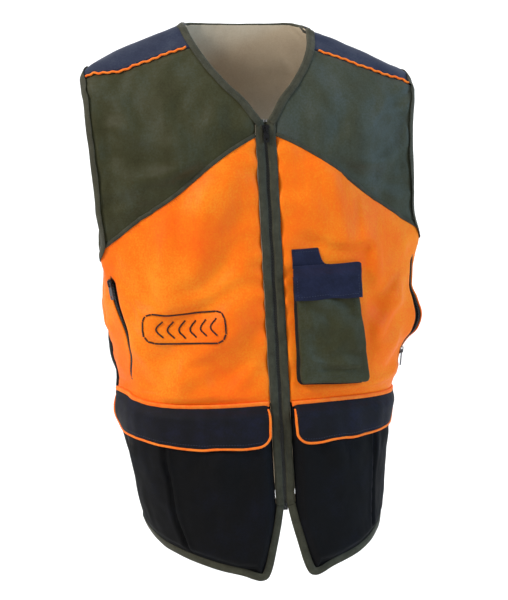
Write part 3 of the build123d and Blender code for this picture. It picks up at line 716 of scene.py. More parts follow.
SHOULDER = {1: shoulder_lines(YOKE_FRONT[-1][1], ARM_YOKE), -1: shoulder_lines(YOKE_RIGHT_END, ARM_YOKE_RIGHT)}
arm_back = armhole(ARM_YOKE_BACK, -90.0)
yoke_back = back_line(YOKE_BACK)
meet(yoke_back, arm_back[0], 10)
meet(yoke_back, neck_back[cut_back], 12, at_start=True)
hem = join(front_line(HEM), pair(np.linspace(float(by_x(153, 39.5)), SIDE, 30), np.linspace(39.5, HEM_SIDE, 30)))
front_edge = front_line(FRONT_EDGE)


def to_side(sign, *lines):
    return [sided(line, sign) for line in lines]


# ---------------------------------------------------------------- the cloth settles on the form
def openings(turn, z):
    """Where the garment has no cloth: inside the neck or an armhole."""
    p = form(turn, z)
    x, y = np.abs(p[..., 0]), p[..., 1]
    line = np.array(NECK_FRONT, float)[::-1]
    neck = (y <= 0) & (z > 600) & (x < np.interp(z, line[:, 1], line[:, 0]))
    neck |= (y > 0) & (z > 717) & (x < 80)
    return neck | ((arm_round(y, z) < 1) & (x > 120))


def form_normals(turn, z):
    n = np.cross(form(turn + 0.01, z) - form(turn - 0.01, z), form(turn, z + 1) - form(turn, z - 1))
    return n / np.maximum(np.linalg.norm(n, axis=-1, keepdims=True), 1e-9)


def held(rest, z, near_opening):
    """How firmly each point is held, from 0 for loose cloth to 1 at an edge."""
    x, y = np.abs(rest[..., 0]), rest[..., 1]
    front = y < 0
    seam, yoke = (np.interp(x, *np.array(line, float).T) for line in (CHEST_SEAM, YOKE_FRONT))
    hold = 0.7 * (1 - ramp(z, 0, 175))
    for where, grip in (
        (near_opening, 1.0), (front & (x < 15), 1.0), (np.abs(z - WAIST) < 5, 0.9),
        (front & (np.abs(z - seam) < 5) & (z > 440), 0.75), (front & (z > yoke - 3) & (z > 640), 0.9),
        (~front & (z > 640), 0.8), (~front & (np.abs(z - BACK_WAIST) < 5), 0.6),
        ((np.abs(y + 38) < 6) & (z > 262) & (z < 414), 0.9), ((np.abs(y) < 5) & (z < 440), 0.3),
    ):
        hold = np.maximum(hold, np.where(where, grip, 0))
    return hold


FRAMES = 34
FOLD_LIMIT = 9.5


def settle():
    """Cloth a little larger than the form, held along its seams, finds its own folds."""
    scene = bpy.context.scene
    turn, z = np.meshgrid(GRID_T[:-1], GRID_Z, indexing="ij")
    columns, heights = z.shape
    rest = form(turn, z)
    gone = openings(turn, z)
    faces = []
    for i in range(columns):
        k = (i + 1) % columns
        for j in range(heights - 1):
            if not (gone[i, j] or gone[k, j] or gone[i, j + 1] or gone[k, j + 1]):
                faces.append((i * heights + j, k * heights + j, k * heights + j + 1, i * heights + j + 1))
    near_gone = gone | np.roll(gone, 1, 0) | np.roll(gone, -1, 0) | np.roll(gone, 1, 1) | np.roll(gone, -1, 1)
    hold = np.round(held(rest, z, near_gone).ravel(), 1)
    sheets = []
    for name, points in (("settling", rest), ("settling_form", rest - form_normals(turn, z) * 3.0)):
        mesh = bpy.data.meshes.new(name)
        mesh.from_pydata([tuple(p) for p in to_frame(points)], [], faces)
        sheets.append(add_object(name, mesh))
    sheet, solid = sheets
    solid.modifiers.new("hit", "COLLISION")
    solid.collision.thickness_outer = 0.001
    solid.collision.cloth_friction = 8
    group = sheet.vertex_groups.new(name="hold")
    for value in np.unique(hold):
        if value > 0:
            group.add([int(i) for i in np.nonzero(hold == value)[0]], float(value), "REPLACE")
    mod = sheet.modifiers.new("cloth", "CLOTH")
    s = mod.settings
    s.quality = 7
    s.mass = 0.3
    s.tension_stiffness = 18
    s.compression_stiffness = 18
    s.shear_stiffness = 6
    s.bending_stiffness = 0.9
    s.air_damping = 2
    s.shrink_min = -0.055
    s.vertex_group_mass = "hold"
    s.effector_weights.gravity = 0.35
    mod.collision_settings.use_collision = True
    mod.collision_settings.distance_min = 0.001
    mod.point_cache.frame_start = 1
    mod.point_cache.frame_end = FRAMES
    for f in range(1, FRAMES + 1):
        scene.frame_set(f)
    got = sheet.evaluated_get(bpy.context.evaluated_depsgraph_get())
    places = np.zeros(len(got.data.vertices) * 3)
    got.data.vertices.foreach_get("co", places)
    moved = places.reshape(columns, heights, 3) * 1000 + np.array([0, 0, NECK]) - rest
    scene.frame_set(1)
    for obj in sheets:
        bpy.data.objects.remove(obj)
    used = np.zeros(columns * heights, bool)
    used[np.array(faces).ravel()] = True
    moved[~used.reshape(columns, heights)] = 0
    size = np.linalg.norm(moved, axis=-1, keepdims=True)
    moved = moved * np.minimum(1, FOLD_LIMIT / np.maximum(size, 1e-9))
    moved = (np.roll(moved, 1, 0) + 2 * moved + np.roll(moved, -1, 0)) / 4
    soften(moved)
    return np.concatenate([moved, moved[:1]])


def soften(field):
    """One pass of averaging with the neighbours above and below."""
    field[:, 1:-1] = (field[:, :-2] + 2 * field[:, 1:-1] + field[:, 2:]) / 4


folds = settle()
turn_at, z_at = np.meshgrid(GRID_T, GRID_Z, indexing="ij")
x_at = form(turn_at, z_at)[..., 0]
under_pocket = band(x_at, 16, 30, 126, 142) * band(z_at, 240, 256, 428, 446)
under_flaps = band(z_at, 165, 185, 232, 245)
flank = ramp(np.abs(x_at), 165, 185) * band(z_at, 250, 265, 415, 435)
for where, less in ((under_pocket, 0.75), (under_flaps, 0.6), (flank, 0.5)):
    folds = folds * (1 - less * where * (np.abs(turn_at) < SIDE))[..., None]
# the skirt has long upright folds only
even_down = folds * np.array([1, 1, 0.1])
for _ in range(14):
    soften(even_down)
low_part = (1 - ramp(z_at, 130, 190))[..., None]
folds = folds * (1 - low_part) + even_down * low_part

# ---------------------------------------------------------------- cloth panels
SIDES = ((1, "left"), (-1, "right"))
k13 = int(np.argmin(np.abs(form(neck_front[:, 0], neck_front[:, 1])[:, 0] - STRIP)))
strip_at = float(neck_front[k13, 1])
FASTENER_MID = (FASTENER_LOW + FASTENER_HIGH) / 2


def zip_way(sign, z):
    """The y of the side fastener at a height; the right one bows forward."""
    tall = FASTENER_HIGH - FASTENER_LOW
    f = np.clip((FASTENER_HIGH - z) / tall, 0, 1)
    return -39.4 + 2.6 * (z - FASTENER_LOW) / tall - (10.5 * band(f, 0.2, 0.62, 0.74, 1.0) if sign < 0 else 0)


def side_slot(turn, z):
    """Moves the nearest column of a front panel onto the side fastener, and says how wide it opens there."""
    row = int(np.argmin(np.abs(z[len(z) // 2] - FASTENER_MID)))
    column = int(np.argmin(np.abs(np.abs(turn[:, row]) - by_y(-40.0, FASTENER_MID))))
    sign = np.sign(turn[column, row])
    target = by_y(zip_way(sign, z[column]), z[column]) * sign
    shift = (target - turn[column]) * band(z[column], 236, 268, 408, 440)
    for i in range(turn.shape[0]):
        turn[i] += shift * np.exp(-(((i - column) / 4.0) ** 2))

    def half(t, height):
        full = 4.6 if sign > 0 else 2.0 + 4.6 * ramp(height, 300, 380)
        return full * band(height, 268, 278, 398, 407) * sign

    return column, half


for sign, hand in SIDES:
    yoke_front, arm_front, arm_top = SHOULDER[sign]
    side_low = float(waist_height(sign, SIDE))
    chest_left = join(upright(STRIP, 584, strip_at), neck_front[cut:k13 + 1][::-1])
    borders = to_side(sign, chest_seam, yoke_front, chest_left, arm_front)
    # the wearer's left chest panel takes the bluer olive copy, as painted light
    panel(f"chest_panel_{hand}", borders, OLIVE_PAINTED_BLUE_LIGHT if sign > 0 else OLIVE, step=3.6)
    yoke_neck = join(neck_front[:cut + 1][::-1], neck_back[:cut_back + 1])
    borders = to_side(sign, yoke_front, yoke_back, yoke_neck, arm_top)
    panel(f"shoulder_yoke_{hand}", borders, NAVY_GREY, outer=0.5, step=3.6)
    top = join(chest_seam, armhole(ARM_SEAM, 270.0))
    borders = to_side(sign, waist(sign, STRIP), top, upright(STRIP, 235, 584), side(side_low, ARM_FOOT))
    panel(f"front_panel_{hand}", borders, ORANGE, step=3.6, split=side_slot)
    low_left = join(front_edge[::-1], upright(STRIP, STRIP_FOOT, 235))
    borders = to_side(sign, hem, waist(sign, STRIP), low_left, side(HEM_SIDE, side_low))
    panel(f"lower_panel_{hand}", borders, NAVY, outer=-0.2)
    inner_top = pair(np.linspace(neck_front[0, 0], SIDE, 20), NECK)
    inner_left = join(front_edge[::-1], upright(STRIP, STRIP_FOOT, strip_at), neck_front[:k13 + 1][::-1])
    inner_right = join(side(HEM_SIDE, ARM_FOOT), armhole(270.0, 90.0))
    panel(f"lining_front_{hand}", to_side(sign, hem, inner_top, inner_left, inner_right), TAUPE, outer=-3.0, thick=0.9,
          sunk=0.0, step=7)


def round_back(line):
    return pair(2 * math.pi - line[:, 0], line[:, 1])


back_t = np.linspace(SIDE, 3 * SIDE, 80)
mid_line, low_line = pair(back_t, BACK_WAIST), pair(back_t, HEM_SIDE)
yoke_in = join(yoke_back[::-1], neck_back[cut_back:])
up_side = join(side(BACK_WAIST, ARM_FOOT), arm_back[::-1])
panel("back_panel", [mid_line, join(yoke_in, round_back(yoke_in)[::-1]), up_side, round_back(up_side)], ORANGE, step=4,
      spread=True)
low_side = side(HEM_SIDE, BACK_WAIST)
panel("back_lower_panel", [low_line, mid_line, low_side, round_back(low_side)], NAVY, step=5)
whole_top = join(np.array([[SIDE, NECK]]), neck_back, round_back(neck_back)[::-1])
whole_side = join(side(HEM_SIDE, ARM_FOOT), armhole(-90.0, 90.0))
panel("lining_back", [low_line, whole_top, whole_side, round_back(whole_side)], TAUPE, outer=-3.0, thick=0.9,
      sunk=0.0, step=6)

# side pocket fasteners follow the cloth
SIDE_TOOTH = ((-2.0, 0.0), (0.9, 0.0), (1.3, 0.5), (1.3, 1.6), (0.9, 2.1), (-2.0, 1.9))
for sign, hand in SIDES:
    high = np.linspace(264, 411, 90)
    line = pair(by_y(zip_way(sign, high), high) * sign, high)
    sweep(f"side_zip_tape_{hand}_cloth", line, [(-9, -2.7), (-9, -2.1), (9, -2.1), (9, -2.7)], TAPE,
          node=f"side_zip_tape_{hand}")
    turn, z = even(line[3:-3], 71).T
    centre, out = place(turn, z, -2.0), normals(turn, z)
    up = heading(centre)
    teeth(f"side_zip_chain_{hand}", centre, np.cross(up, out), out, up, SIDE_TOOTH, 0.6, node=f"side_zip_teeth_{hand}")

# ---------------------------------------------------------------- bindings, strips and piping
EDGE = loop_profile(9.5, 1.5, -4.6)
BACK_EDGE = [(8.5, 1.0), (7.9, 1.5), (4.0, 1.75), (1.2, 1.5), (-0.4, 0.9), (-1.3, -0.8), (-0.9, -2.6), (0.4, -3.6),
             (1.6, -3.7), (1.6, -3.1), (0.4, -2.9), (0.1, -0.8), (1.0, 0.9), (8.3, 0.8)]
FRONT_STRIP = [(-4.7, -1.6), (-4.9, 0.3), (-4.6, 0.9), (-1, 0.75), (3.2, 0.3), (5.2, 0.05), (5.7, -0.5), (6.0, -2.1),
               (10.5, -2.1), (10.5, -2.7), (5.0, -2.7)]
SEAM_STRIP = [(-2.6, -0.6), (-2.7, 0.5), (-2.0, 1.05), (0, 1.2), (2.0, 1.0), (2.7, 0.4), (2.6, -0.6)]
WAIST_BAND = [(-3.6, 0), (-3.4, 2.2), (-2.2, 3.0), (2.2, 2.9), (3.2, 2.0), (3.4, 0)]
SHOULDER_CORD = [(1.5 * x, 1.2 + 1.5 * y) for x, y in circle(10)]
EDGE_STITCH = 8.0  # how far in from an edge the binding is sewn
TIP = [(21.5, 20), (26, 8), (31, 1.5), (38, 0.0), (47, 2.5)]  # the binding turns the front point in a curve
for sign, hand in SIDES:
    line = sided(join(neck_back[::-1], neck_front), sign)
    at_top = len(neck_back) - 1
    fronts, backs = line[at_top:], line[:at_top + 1]
    sweep(f"neck_binding_{hand}_cloth", fronts, EDGE, OLIVE_TRIM, inward=sign, node="neck_binding" if sign > 0 else None)
    sweep(f"neck_binding_back_{hand}_cloth", backs, BACK_EDGE, OLIVE_TRIM, inward=sign)
    stitches(fronts, THREAD_OLIVE, EDGE_STITCH, 1.55, sign, radius=0.4)
    stitches(fronts, THREAD_OLIVE, 2.2, 1.75, sign)
    line = sided(armhole(-90.0, 270.0, 300), sign)
    sweep(f"armhole_binding_{hand}_cloth", line, EDGE, OLIVE_TRIM, inward=-sign, node=f"armhole_binding_{hand}")
    stitches(line, THREAD_OLIVE, EDGE_STITCH, 1.5, -sign)
    corner = front_line(FRONT_EDGE[:-1] + TIP + HEM[1:], 160)
    turn, z = corner[-1]
    line = sided(join(corner, pair(np.linspace(turn, SIDE, 30)[1:], np.linspace(z, HEM_SIDE, 30)[1:])), sign)
    sweep(f"hem_binding_{hand}_cloth", line, EDGE, OLIVE_TRIM, inward=sign, node=f"hem_binding_{hand}")
    stitches(line, THREAD_OLIVE, EDGE_STITCH, 1.5, sign)
    line = sided(upright(8.0, 96, 603, 200), sign)
    phase = 0.0 if sign > 0 else 2.0
    sweep(f"front_strip_{hand}_cloth", line, FRONT_STRIP, OLIVE_TRIM, inward=sign, node=f"front_strip_{hand}",
          wave=lambda s, q=phase: (0.35 * math.sin(s / 9 + q), 0.4 * math.sin(s / 6.1 + q)))
    stitches(line, THREAD_OLIVE, 2.6, 0.4, sign)
    shoulder = sided(SHOULDER[sign][0], sign)
    sweep(f"shoulder_piping_{hand}_cord", shoulder[1:-4], SHOULDER_CORD, PIPING, inward=sign, step=1.0,
          wave=lambda s, q=phase: (0.75 * math.sin(s / 1.75 + q) + 0.35 * math.sin(s / 5 + q), 0.0),
          node=f"shoulder_piping_{hand}")
    line = sided(chest_seam, sign)
    sweep(f"chest_seam_strip_{hand}_cloth", line, SEAM_STRIP, OLIVE_TRIM, inward=sign)
    for off in (2.2, -5.5, -7.8):
        stitches(line[:-3], THREAD_OLIVE if off > 0 else THREAD_ORANGE, off, -0.1, sign)
    stitches(shoulder[2:-3], THREAD_NAVY, 4.5, 0.5, sign)
    line = sided(waist(sign, 15.5), sign)
    sweep(f"waist_piping_{hand}_cloth", line, WAIST_BAND, PIPING, inward=sign, node=f"waist_piping_{hand}")
sweep("hem_binding_back_cloth", low_line, EDGE, OLIVE_TRIM, node="hem_binding_back")
stitches(low_line, THREAD_OLIVE, EDGE_STITCH, 1.5)
stitches(mid_line, THREAD_ORANGE, 3.0, -0.1)


# ---------------------------------------------------------------- pockets and flaps
def heaped(turn, z, side_out, front_out):
    """How far out a layer stands that is fuller at the front than at the side."""
    n = normals(turn, z)
    s, c = np.abs(np.sin(turn)) ** (2 / FULL), np.abs(np.cos(turn)) ** (2 / FULL)
    return side_out * s * np.abs(n[..., 0]) + front_out * c * np.abs(n[..., 1])


def crinkle(turn, z, scale, seed, stretch=(1, 1, 1)):
    return noise_at(form(turn, z) * np.array(stretch), scale, seed)


def unit_grid(n, m):
    return np.linspace(0, 1, n)[:, None], np.linspace(0, 1, m)[None, :]


def bends(obj):
    """Bakes the flap's placement into its points."""
    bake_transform(obj)


POCKET_SIDE = 1.46  # turn of a lower pocket's outer edge
POCKET_TOP = 213.0
FLAP_FOOT, FLAP_CORNER, FLAP_THICK = 180.5, 11.0, 1.8
PIPE_SIDES, PIPE_RADIUS = 10, 1.8
for sign, hand in SIDES:
    left = join(front_line([(15.5, 98), (20.5, 62), (29.5, 30), (38, 9)])[::-1], upright(15.5, 99, POCKET_TOP))
    low_hem = hem + np.array([0, 9])
    low_hem = low_hem[(low_hem[:, 0] > left[0, 0] + 0.02) & (low_hem[:, 0] < 1.44)]
    right = pair(POCKET_SIDE, np.linspace(71, POCKET_TOP, 50))
    top = pair(np.linspace(left[-1, 0], POCKET_SIDE, 60), POCKET_TOP)

    def puff(turn, z, near, sign=sign):
        """Fuller at the front, open at the top, with one pleat towards the side."""
        x = np.abs(form(turn, z)[..., 0])
        full = heaped(turn, z, 2.6, 9.2)
        wall = 1 - bell(near + 30 * (z > 200) * ramp(np.minimum(x - 15, 200), 1, 8), 5.5)
        fold = x - (122.5 + 19.5 * (z - 30) / 183) + 0.8 * np.sin(z / 14 + sign)
        pleat = -6.5 * bell(fold, 1.7) + 1.2 * bell(np.abs(fold) - 4.5, 2.5)
        soft = 1.3 * crinkle(turn, z, 26, 5 + sign, (1, 1, 0.5)) + 0.7 * crinkle(turn, z, 11, 9 + sign, (1, 1, 0.7))
        return (full + pleat * ramp(full, 3, 7) + soft) * wall + 1.0 * np.exp(-near / 3.0)

    panel(f"lower_pocket_{hand}", to_side(sign, join(left[:1], low_hem), top, left, right), NAVY, outer=0.6, thick=1.2,
          step=2.6, extra=puff)

    # flap over it, bending at its top edge
    t_in, t_out = float(by_x(17.5, 200)), 1.45 if sign > 0 else 1.59
    s, v = unit_grid(74, 26)
    turn = t_in + (t_out - t_in) * s + 0 * v
    run = np.clip(FLAP_CORNER - (turn - t_in) * 150, 0, FLAP_CORNER)
    tail, soon = (26, 0.09) if sign > 0 else (20, 0.05)
    rise = (2 if sign > 0 else 15) * ramp(turn, 0.3, 1.4)
    low = (FLAP_FOOT + tail * np.exp(-((t_out - turn) / soon)) + FLAP_CORNER - np.sqrt(FLAP_CORNER**2 - run**2) + rise)
    high = waist_height(sign, turn) - 1.5
    z = high + (low - high) * v
    drop = high - z
    ripple = 0.7 * crinkle(turn, z, 34, 12 + sign, (1, 1, 0.4)) + 0.25 * crinkle(turn, z, 12, 15 + sign)
    lift = 1.4 + heaped(turn, z, 3.0, 11.2) * ramp(drop, 0, 15) ** 0.8 + ripple * ramp(drop, 4, 20)
    rim = np.minimum(np.minimum((turn - t_in) * 110, (t_out - turn) * 110), z - low)
    turn = turn * sign
    out = place(turn, z, lift + FLAP_THICK - 0.8 * np.exp(-rim / 1.6))
    points, faces = closed(out, place(turn, z, lift), quads(*turn.shape))
    flap = make(f"lower_flap_{hand}_cloth", points, faces, NAVY_FLAP, body=None, node=f"lower_flap_{hand}")
    bends(flap)
    FLATS.append((flap, 0.19, 0.058, 0.19 * 0.056))

    # piping round the free edges of the flap
    n = normals(turn, z)
    path, up = (np.concatenate([q[0, 3:], q[1:, -1], q[-1, 3:-1][::-1]]) for q in (place(turn, z, lift + 0.9), n))
    for _ in range(3):
        path[1:-1] = (path[:-2] + 2 * path[1:-1] + path[2:]) / 4
    across = np.cross(up, heading(path))
    pipe = []
    for i, centre in enumerate(path):
        radius = PIPE_RADIUS * (0.25 + 0.75 * ramp(len(path) - 1 - i, 0, 14))
        pipe += [centre + (across[i] * x + up[i] * y) * radius for x, y in circle(PIPE_SIDES)]
    cord = make(f"lower_flap_piping_{hand}_cord", np.array(pipe), tube_faces(len(path), PIPE_SIDES), PIPING, body=None,
                node=f"lower_flap_piping_{hand}")
    bends(cord)
    above = place(turn, z, lift + FLAP_THICK)
    rows(above[2:-3, -4], n[2:-3, -4], THREAD_NAVY, body=f"flap_{hand}")

# chest pocket on the wearer's left: x of its two edges at the top and at the bottom, then its heights
PX0, PX1 = (25.2, 23.7), (111.0, 122.0)
PZ0, PZ1 = 250.0, 398.0
WALL = [(0.0, 0.0), (0.5, 1.6), (2.6, 3.6), (3.0, 4.8), (1.9, 7.4), (1.6, 9.4), (2.0, 10.8), (3.2, 11.9), (5.0, 12.3),
        (8.0, 12.4)]  # section of the bellows, as (inwards, outwards)
ROUND = 9.0


def chest_grid(inset, drop, nx=44, nz=60):
    """Grid of x, height and distance from the panel; inset and drop make the inner side."""
    d = np.array([w[0] + inset for w in WALL])
    h = [max(0.15, w[1] - drop) for w in WALL]
    count = len(WALL)
    zs = np.concatenate([PZ0 + d, np.linspace(PZ0 + d[-1] + 3, PZ1, nz)])
    fz = (zs - PZ0) / (PZ1 - PZ0)
    x0, x1 = (bottom + (top - bottom) * fz for top, bottom in (PX0, PX1))
    row = np.concatenate([h, np.full(nx - 2, h[-1]), h[::-1]])
    grid_x, grid_h = [], []
    for j in range(len(zs)):
        lefts, rights = x0[j] + d, x1[j] - d[::-1]
        middle = lefts[-1] + (rights[0] - lefts[-1]) * np.linspace(0, 1, nx)[1:-1]
        grid_x.append(np.concatenate([lefts, middle, rights]))
        grid_h.append(np.minimum(row, h[j]) if j < count else row)
    gx, gh = np.array(grid_x).T, np.array(grid_h).T
    gz = np.broadcast_to(zs, gx.shape).copy()
    dz = gz - PZ0
    for edge_x, way in ((x0, 1), (x1, -1)):  # rounds the two lower corners
        dx = (gx - edge_x) * way
        u, v = np.maximum(ROUND - dx, 1e-6), np.maximum(ROUND - dz, 1e-6)
        near = (dx < ROUND) & (dz < ROUND)
        scale = np.where(near, np.maximum(u, v) / np.hypot(u, v), 1)
        gx = np.where(near, edge_x + way * (ROUND - u * scale), gx)
        gz = np.where(near, PZ0 + ROUND - v * scale, gz)
    return gx, gz + 6 * (1 - ramp(gx, 25, 122)) * (1 - ramp(gz, 255, 330)), gh


def pocket_points(inset, drop):
    """The pocket's skin with soft wrinkles, a droop above its foot and one crease from its edge."""
    gx, gz, gh = chest_grid(inset, drop)
    turn = by_x(gx, gz)
    p = form(turn, gz)
    soft = 8.5 * noise_at(p * np.array([0.8, 1, 0.9]) + pair(gz * 0.5, 0, 0), 26, 21)
    soft += 1.8 * noise_at(p * np.array([1.0, 1, 1.3]), 15, 23)
    soft = soft * (0.18 + 0.82 * band(gx, 30, 50, 100, 118) * ramp(gz, 262, 285))
    middle = gx - 75
    droop = bell(gz - 281 + 0.18 * middle, 3.2) - 0.9 * bell(gz - 273 + 0.1 * middle, 3.0)
    crease = 1.2 * bell(gz - 343 - 0.3 * middle, 5) * (1 - ramp(gx, 40, 70))
    soft = soft + 2.4 * droop * band(gx, 36, 60, 96, 112) + crease
    squeeze = 1 - 0.28 * ramp(gz, 330, PZ1)
    return place(turn, gz, gh * squeeze + soft * ramp(gh, 4, 11) * (1 - 0.6 * ramp(gz, 350, PZ1))), turn, gz


outer_p, turn, z = pocket_points(0.0, 0.0)
points, faces = closed(outer_p, pocket_points(1.3, 1.3)[0], quads(*turn.shape))
pocket = make("chest_pocket_cloth", points, faces, OLIVE, node="chest_pocket")
# its bellows walls, the outer five rings on the sides and foot, take the near-black cloth as painted shade
pocket.data.materials.append(POCKET_WALL_SHADE)
across, upward = (count - 1 for count in turn.shape)
for face, poly in enumerate(pocket.data.polygons):
    i, j = divmod(face, upward)
    if face < across * upward and min(i, j, across - 1 - i) < 5:
        poly.material_index = 1
FLATS.append((pocket, 0.15, 0.18, 0.15 * 0.17))
w = len(WALL)
n = normals(turn, z)
for part in ((w + 1, slice(w, -1)), (-w - 2, slice(w, -1)), (slice(w, -w), w)):
    rows(outer_p[part], n[part], THREAD_OLIVE)

# its flap
FLAP_LEFT, FLAP_RIGHT, FLAP_TOP, FLAP_LOW = 25.5, 118.5, 412.5, 368
s, v = unit_grid(64, 28)
gx = FLAP_LEFT + (FLAP_RIGHT - FLAP_LEFT) * s + 0 * v
high = FLAP_TOP - 3 * np.exp(-(FLAP_RIGHT - gx) / 1.6)
gz = high + (FLAP_LOW - high) * v
drop = FLAP_TOP - gz
turn = by_x(gx, gz)
wrinkles = 0.9 * crinkle(turn, gz, 24, 31) + 0.3 * crinkle(turn, gz, 9, 32)
lift = 3.0 + 11.2 * ramp(drop, 0, 17) ** 0.85 + wrinkles * ramp(drop, 3, 15)
rim = np.minimum(np.minimum(gx - FLAP_LEFT, FLAP_RIGHT - gx), gz - FLAP_LOW)
turn = by_x(gx * (1 - 0.0023 * lift) - 0.2 * lift + 0.8, gz)
out = place(turn, gz, lift + 1.9 - 0.8 * np.exp(-rim / 1.6))
points, faces = closed(out, place(turn, gz, lift), quads(*gx.shape))
flap = make("chest_flap_cloth", points, faces, NAVY_CHEST, body=None, node="chest_flap")
bends(flap)
FLATS.append((flap, 0.104, 0.05, 0.104 * 0.049))
n = normals(turn, gz)
for part in ((slice(2, -2), -4), (3, slice(8, -3)), (-4, slice(8, -3))):
    rows(out[part], n[part], THREAD_NAVY, body="chest_flap")

# the tab it is sewn to
s, v = unit_grid(40, 20)
gx = FLAP_LEFT + 50 * s**0.8 + 0 * v
tab_top = FLAP_TOP + 22 * (1 - np.clip((gx - 61.5) / 14, 0, 1)) ** 3.5
gz = 409.0 + (tab_top - 409.0) * v
turn = by_x(gx, gz)
rim = np.minimum(gx - FLAP_LEFT, tab_top - gz)
out = place(turn, gz, 2.2 - 0.8 * np.exp(-rim / 1.6))
points, faces = closed(out, place(turn, gz, 0.2), quads(*gx.shape))
tab = make("chest_flap_tab_cloth", points, faces, NAVY_CHEST, node="chest_flap_anchor")
FLATS.append((tab, 0.05, 0.028, 0.05 * 0.024))
rows(out[1:-6, -4], normals(turn, gz)[1:-6, -4], THREAD_NAVY)


def patch(name, x0, x1, z0, z1, lift, node, body="vest"):
    """A square of hook or loop tape lying on a layer that stands lift off the cloth."""
    x, z = np.meshgrid(np.linspace(x0, x1, 16), np.linspace(z0, z1, 8), indexing="ij")
    turn = by_x(x, z)
    points, faces = closed(place(turn, z, lift + 0.9), place(turn, z, lift), quads(*x.shape))
    make(name, points, faces, VELCRO, body=body, node=node)


patch("chest_loop_tape", 46, 88, 374, 388, 8.4, "chest_loop_patch")
patch("chest_hook_tape", 46, 88, 374, 388, 11.6, "chest_hook_patch", "chest_flap")
for sign, hand in SIDES:
    patch(f"lower_loop_tape_{hand}", sign * 60, sign * 100, 188, 200, 9.0, f"lower_loop_patch_{hand}")
    patch(f"lower_hook_tape_{hand}", sign * 60, sign * 100, 188, 200, 10.9, f"lower_hook_patch_{hand}", f"flap_{hand}")


# stitched mark on the wearer's right front: a rounded bar and six chevrons of thread
def mark(points, count):
    x, z = smooth(points, count).T
    turn = by_x(x, z)
    rows(place(turn, z, 0.1), normals(turn, z), THREAD_MARK, pitch=1.2, long=1.3, radius=1.5)


badge = [(-66, 334), (-66, 354), (-69, 361), (-76, 364), (-154, 364), (-161, 361), (-164, 354), (-164, 334),
         (-161, 327), (-154, 324), (-76, 324), (-69, 327), (-66, 334)]
for ends in zip(badge, badge[1:]):
    mark(ends, 24)
for tip in range(-76, -76 - 13 * 6, -13):
    mark([(tip, 333), (tip - 8, 344), (tip, 355)], 30)

# interlocked teeth down the middle of the main chain
MAIN_TOOTH = ((-1.25, 0.2), (0.75, 0.0), (1.0, 0.5), (1.0, 1.7), (0.75, 2.2), (-1.25, 2.0))
heights = 104 + 1.8 * np.arange(262)
middles = pair(0.0, -118.53 + 0.04 * (heights - 92), heights)
across, out, up = (np.tile(way, (len(heights), 1)) for way in np.eye(3))
teeth("zip_chain_middle", middles, across, out, up, MAIN_TOOTH, 0.55, taper=0.8)

for (thread, body), (pts, fcs) in list(stitch_rows.items()):
    make(f"stitching_{thread.name}_{body}", np.array(pts), fcs, thread, body=body)

# ---------------------------------------------------------------- the frame's own hard parts
KEEP = {
    "zip_tape": TAPE, "side_zip_tape": TAPE, "zip_teeth": TEETH, "side_zip_teeth": TEETH, "zip_retainer": TEETH,
    "zip_top_stop": BRIGHT, "zip_slider": METAL, "zip_pull": METAL, "side_zip_slider": METAL, "side_zip_pull": RUBBER,
    "side_pocket_bag": TAUPE, "chest_loop_patch": VELCRO, "chest_hook_patch": VELCRO, "lower_loop_patch": VELCRO,
    "lower_hook_patch": VELCRO,
}
stood_for = {n for obj in bpy.data.objects if "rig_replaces" in obj for n in obj["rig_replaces"]}
for name, obj in frame["nodes"].items():
    if name in stood_for:
        obj.hide_render = True
        obj.hide_viewport = True
    else:
        obj.data.materials.clear()
        obj.data.materials.append(KEEP[name.replace("_left", "").replace("_right", "")])

LEAST_COVER = 0.32  # of the rectangle, for a cut piece
for obj, w, l, area in FLATS:
    area = min(max(area, LEAST_COVER * w * l), w * l)

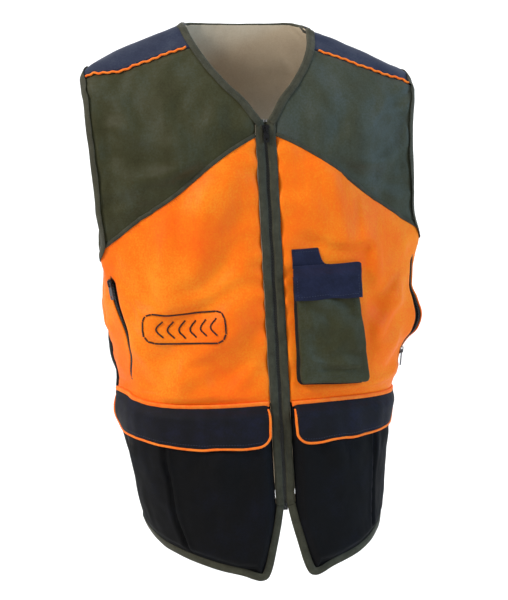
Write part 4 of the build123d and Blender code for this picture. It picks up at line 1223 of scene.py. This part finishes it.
# ---------------------------------------------------------------- camera, light and floor
AIM = Vector((0, 0, (360 - NECK) / 1000))
AZ, EL, ROLL, FAR = math.radians(-11.44), math.radians(8.5), math.radians(-2.71), 2.2
HEIGHT_PX = 600
back_way = Vector((math.sin(AZ) * math.cos(EL), -math.cos(AZ) * math.cos(EL), math.sin(EL)))
camera_data = bpy.data.cameras.new("camera")
camera_data.sensor_fit = "VERTICAL"
camera_data.sensor_height = 36
camera_data.lens = 1611.9 / HEIGHT_PX * 36
camera_data.shift_x = -3.9 / HEIGHT_PX
camera_data.shift_y = -3.7 / HEIGHT_PX
camera = add_object("camera", camera_data)
turned = back_way.to_track_quat("Z", "Y").to_matrix().to_4x4()
camera.matrix_world = Matrix.Translation(AIM + back_way * FAR) @ turned @ Matrix.Rotation(ROLL, 4, "Z")
bpy.context.scene.camera = camera

world = bpy.data.worlds.new("world")
world.use_nodes = True
world.node_tree.nodes["Background"].inputs["Color"].default_value = (1, 1, 1, 1)
world.node_tree.nodes["Background"].inputs["Strength"].default_value = 0.45
bpy.context.scene.world = world
bpy.context.scene.view_settings.view_transform = "Standard"


def lamp(name, where, size, watts, colour=(1, 1, 1), aim=(0, 0, -0.3)):
    data = bpy.data.lights.new(name, "AREA")
    data.shape = "DISK"
    data.size = size
    data.energy = watts
    data.color = colour
    obj = add_object(name, data)
    obj.location = where
    obj.rotation_euler = (Vector(aim) - Vector(where)).to_track_quat("-Z", "Y").to_euler()


lamp("backdrop_left", (-2.0, 1.6, 1.2), 1.4, 48, aim=(-0.4, 3.8, -0.6))
lamp("backdrop_right", (2.0, 1.6, 1.2), 1.4, 48, aim=(0.4, 3.8, -0.6))
lamp("key", (-1.9, -0.9, 1.5), 0.8, 54, (1.0, 0.985, 0.95))
lamp("fill", (2.0, -1.1, 0.3), 1.0, 29, (0.42, 0.7, 1.0))
lamp("top", (0.1, 0.5, 2.0), 1.2, 10)

floor_mat, add = shader("floor")
add("Principled BSDF", Base_Color=(0.93, 0.93, 0.93, 1), Roughness=0.9)
# a floor that curves up into a backdrop behind the vest
FLOOR, BEND_AT, BEND = -1.25, 2.6, 1.2
profile = [(-6.0, FLOOR), (BEND_AT, FLOOR)]
for a in np.radians(90 * np.arange(1, 25) / 24):
    profile.append((BEND_AT + BEND * math.sin(a), FLOOR + BEND - BEND * math.cos(a)))
profile += [(BEND_AT + BEND, 1.0), (BEND_AT + BEND, 3.5)]
k = len(profile)
floor_mesh = bpy.data.meshes.new("floor")
floor_mesh.from_pydata([(x, y, z) for x in (-5, 5) for y, z in profile], [],
                       [(i, i + k, i + k + 1, i + 1) for i in range(k - 1)])
floor_mesh.materials.append(floor_mat)
floor_mesh.polygons.foreach_set("use_smooth", [True] * len(floor_mesh.polygons))
add_object("floor", floor_mesh)

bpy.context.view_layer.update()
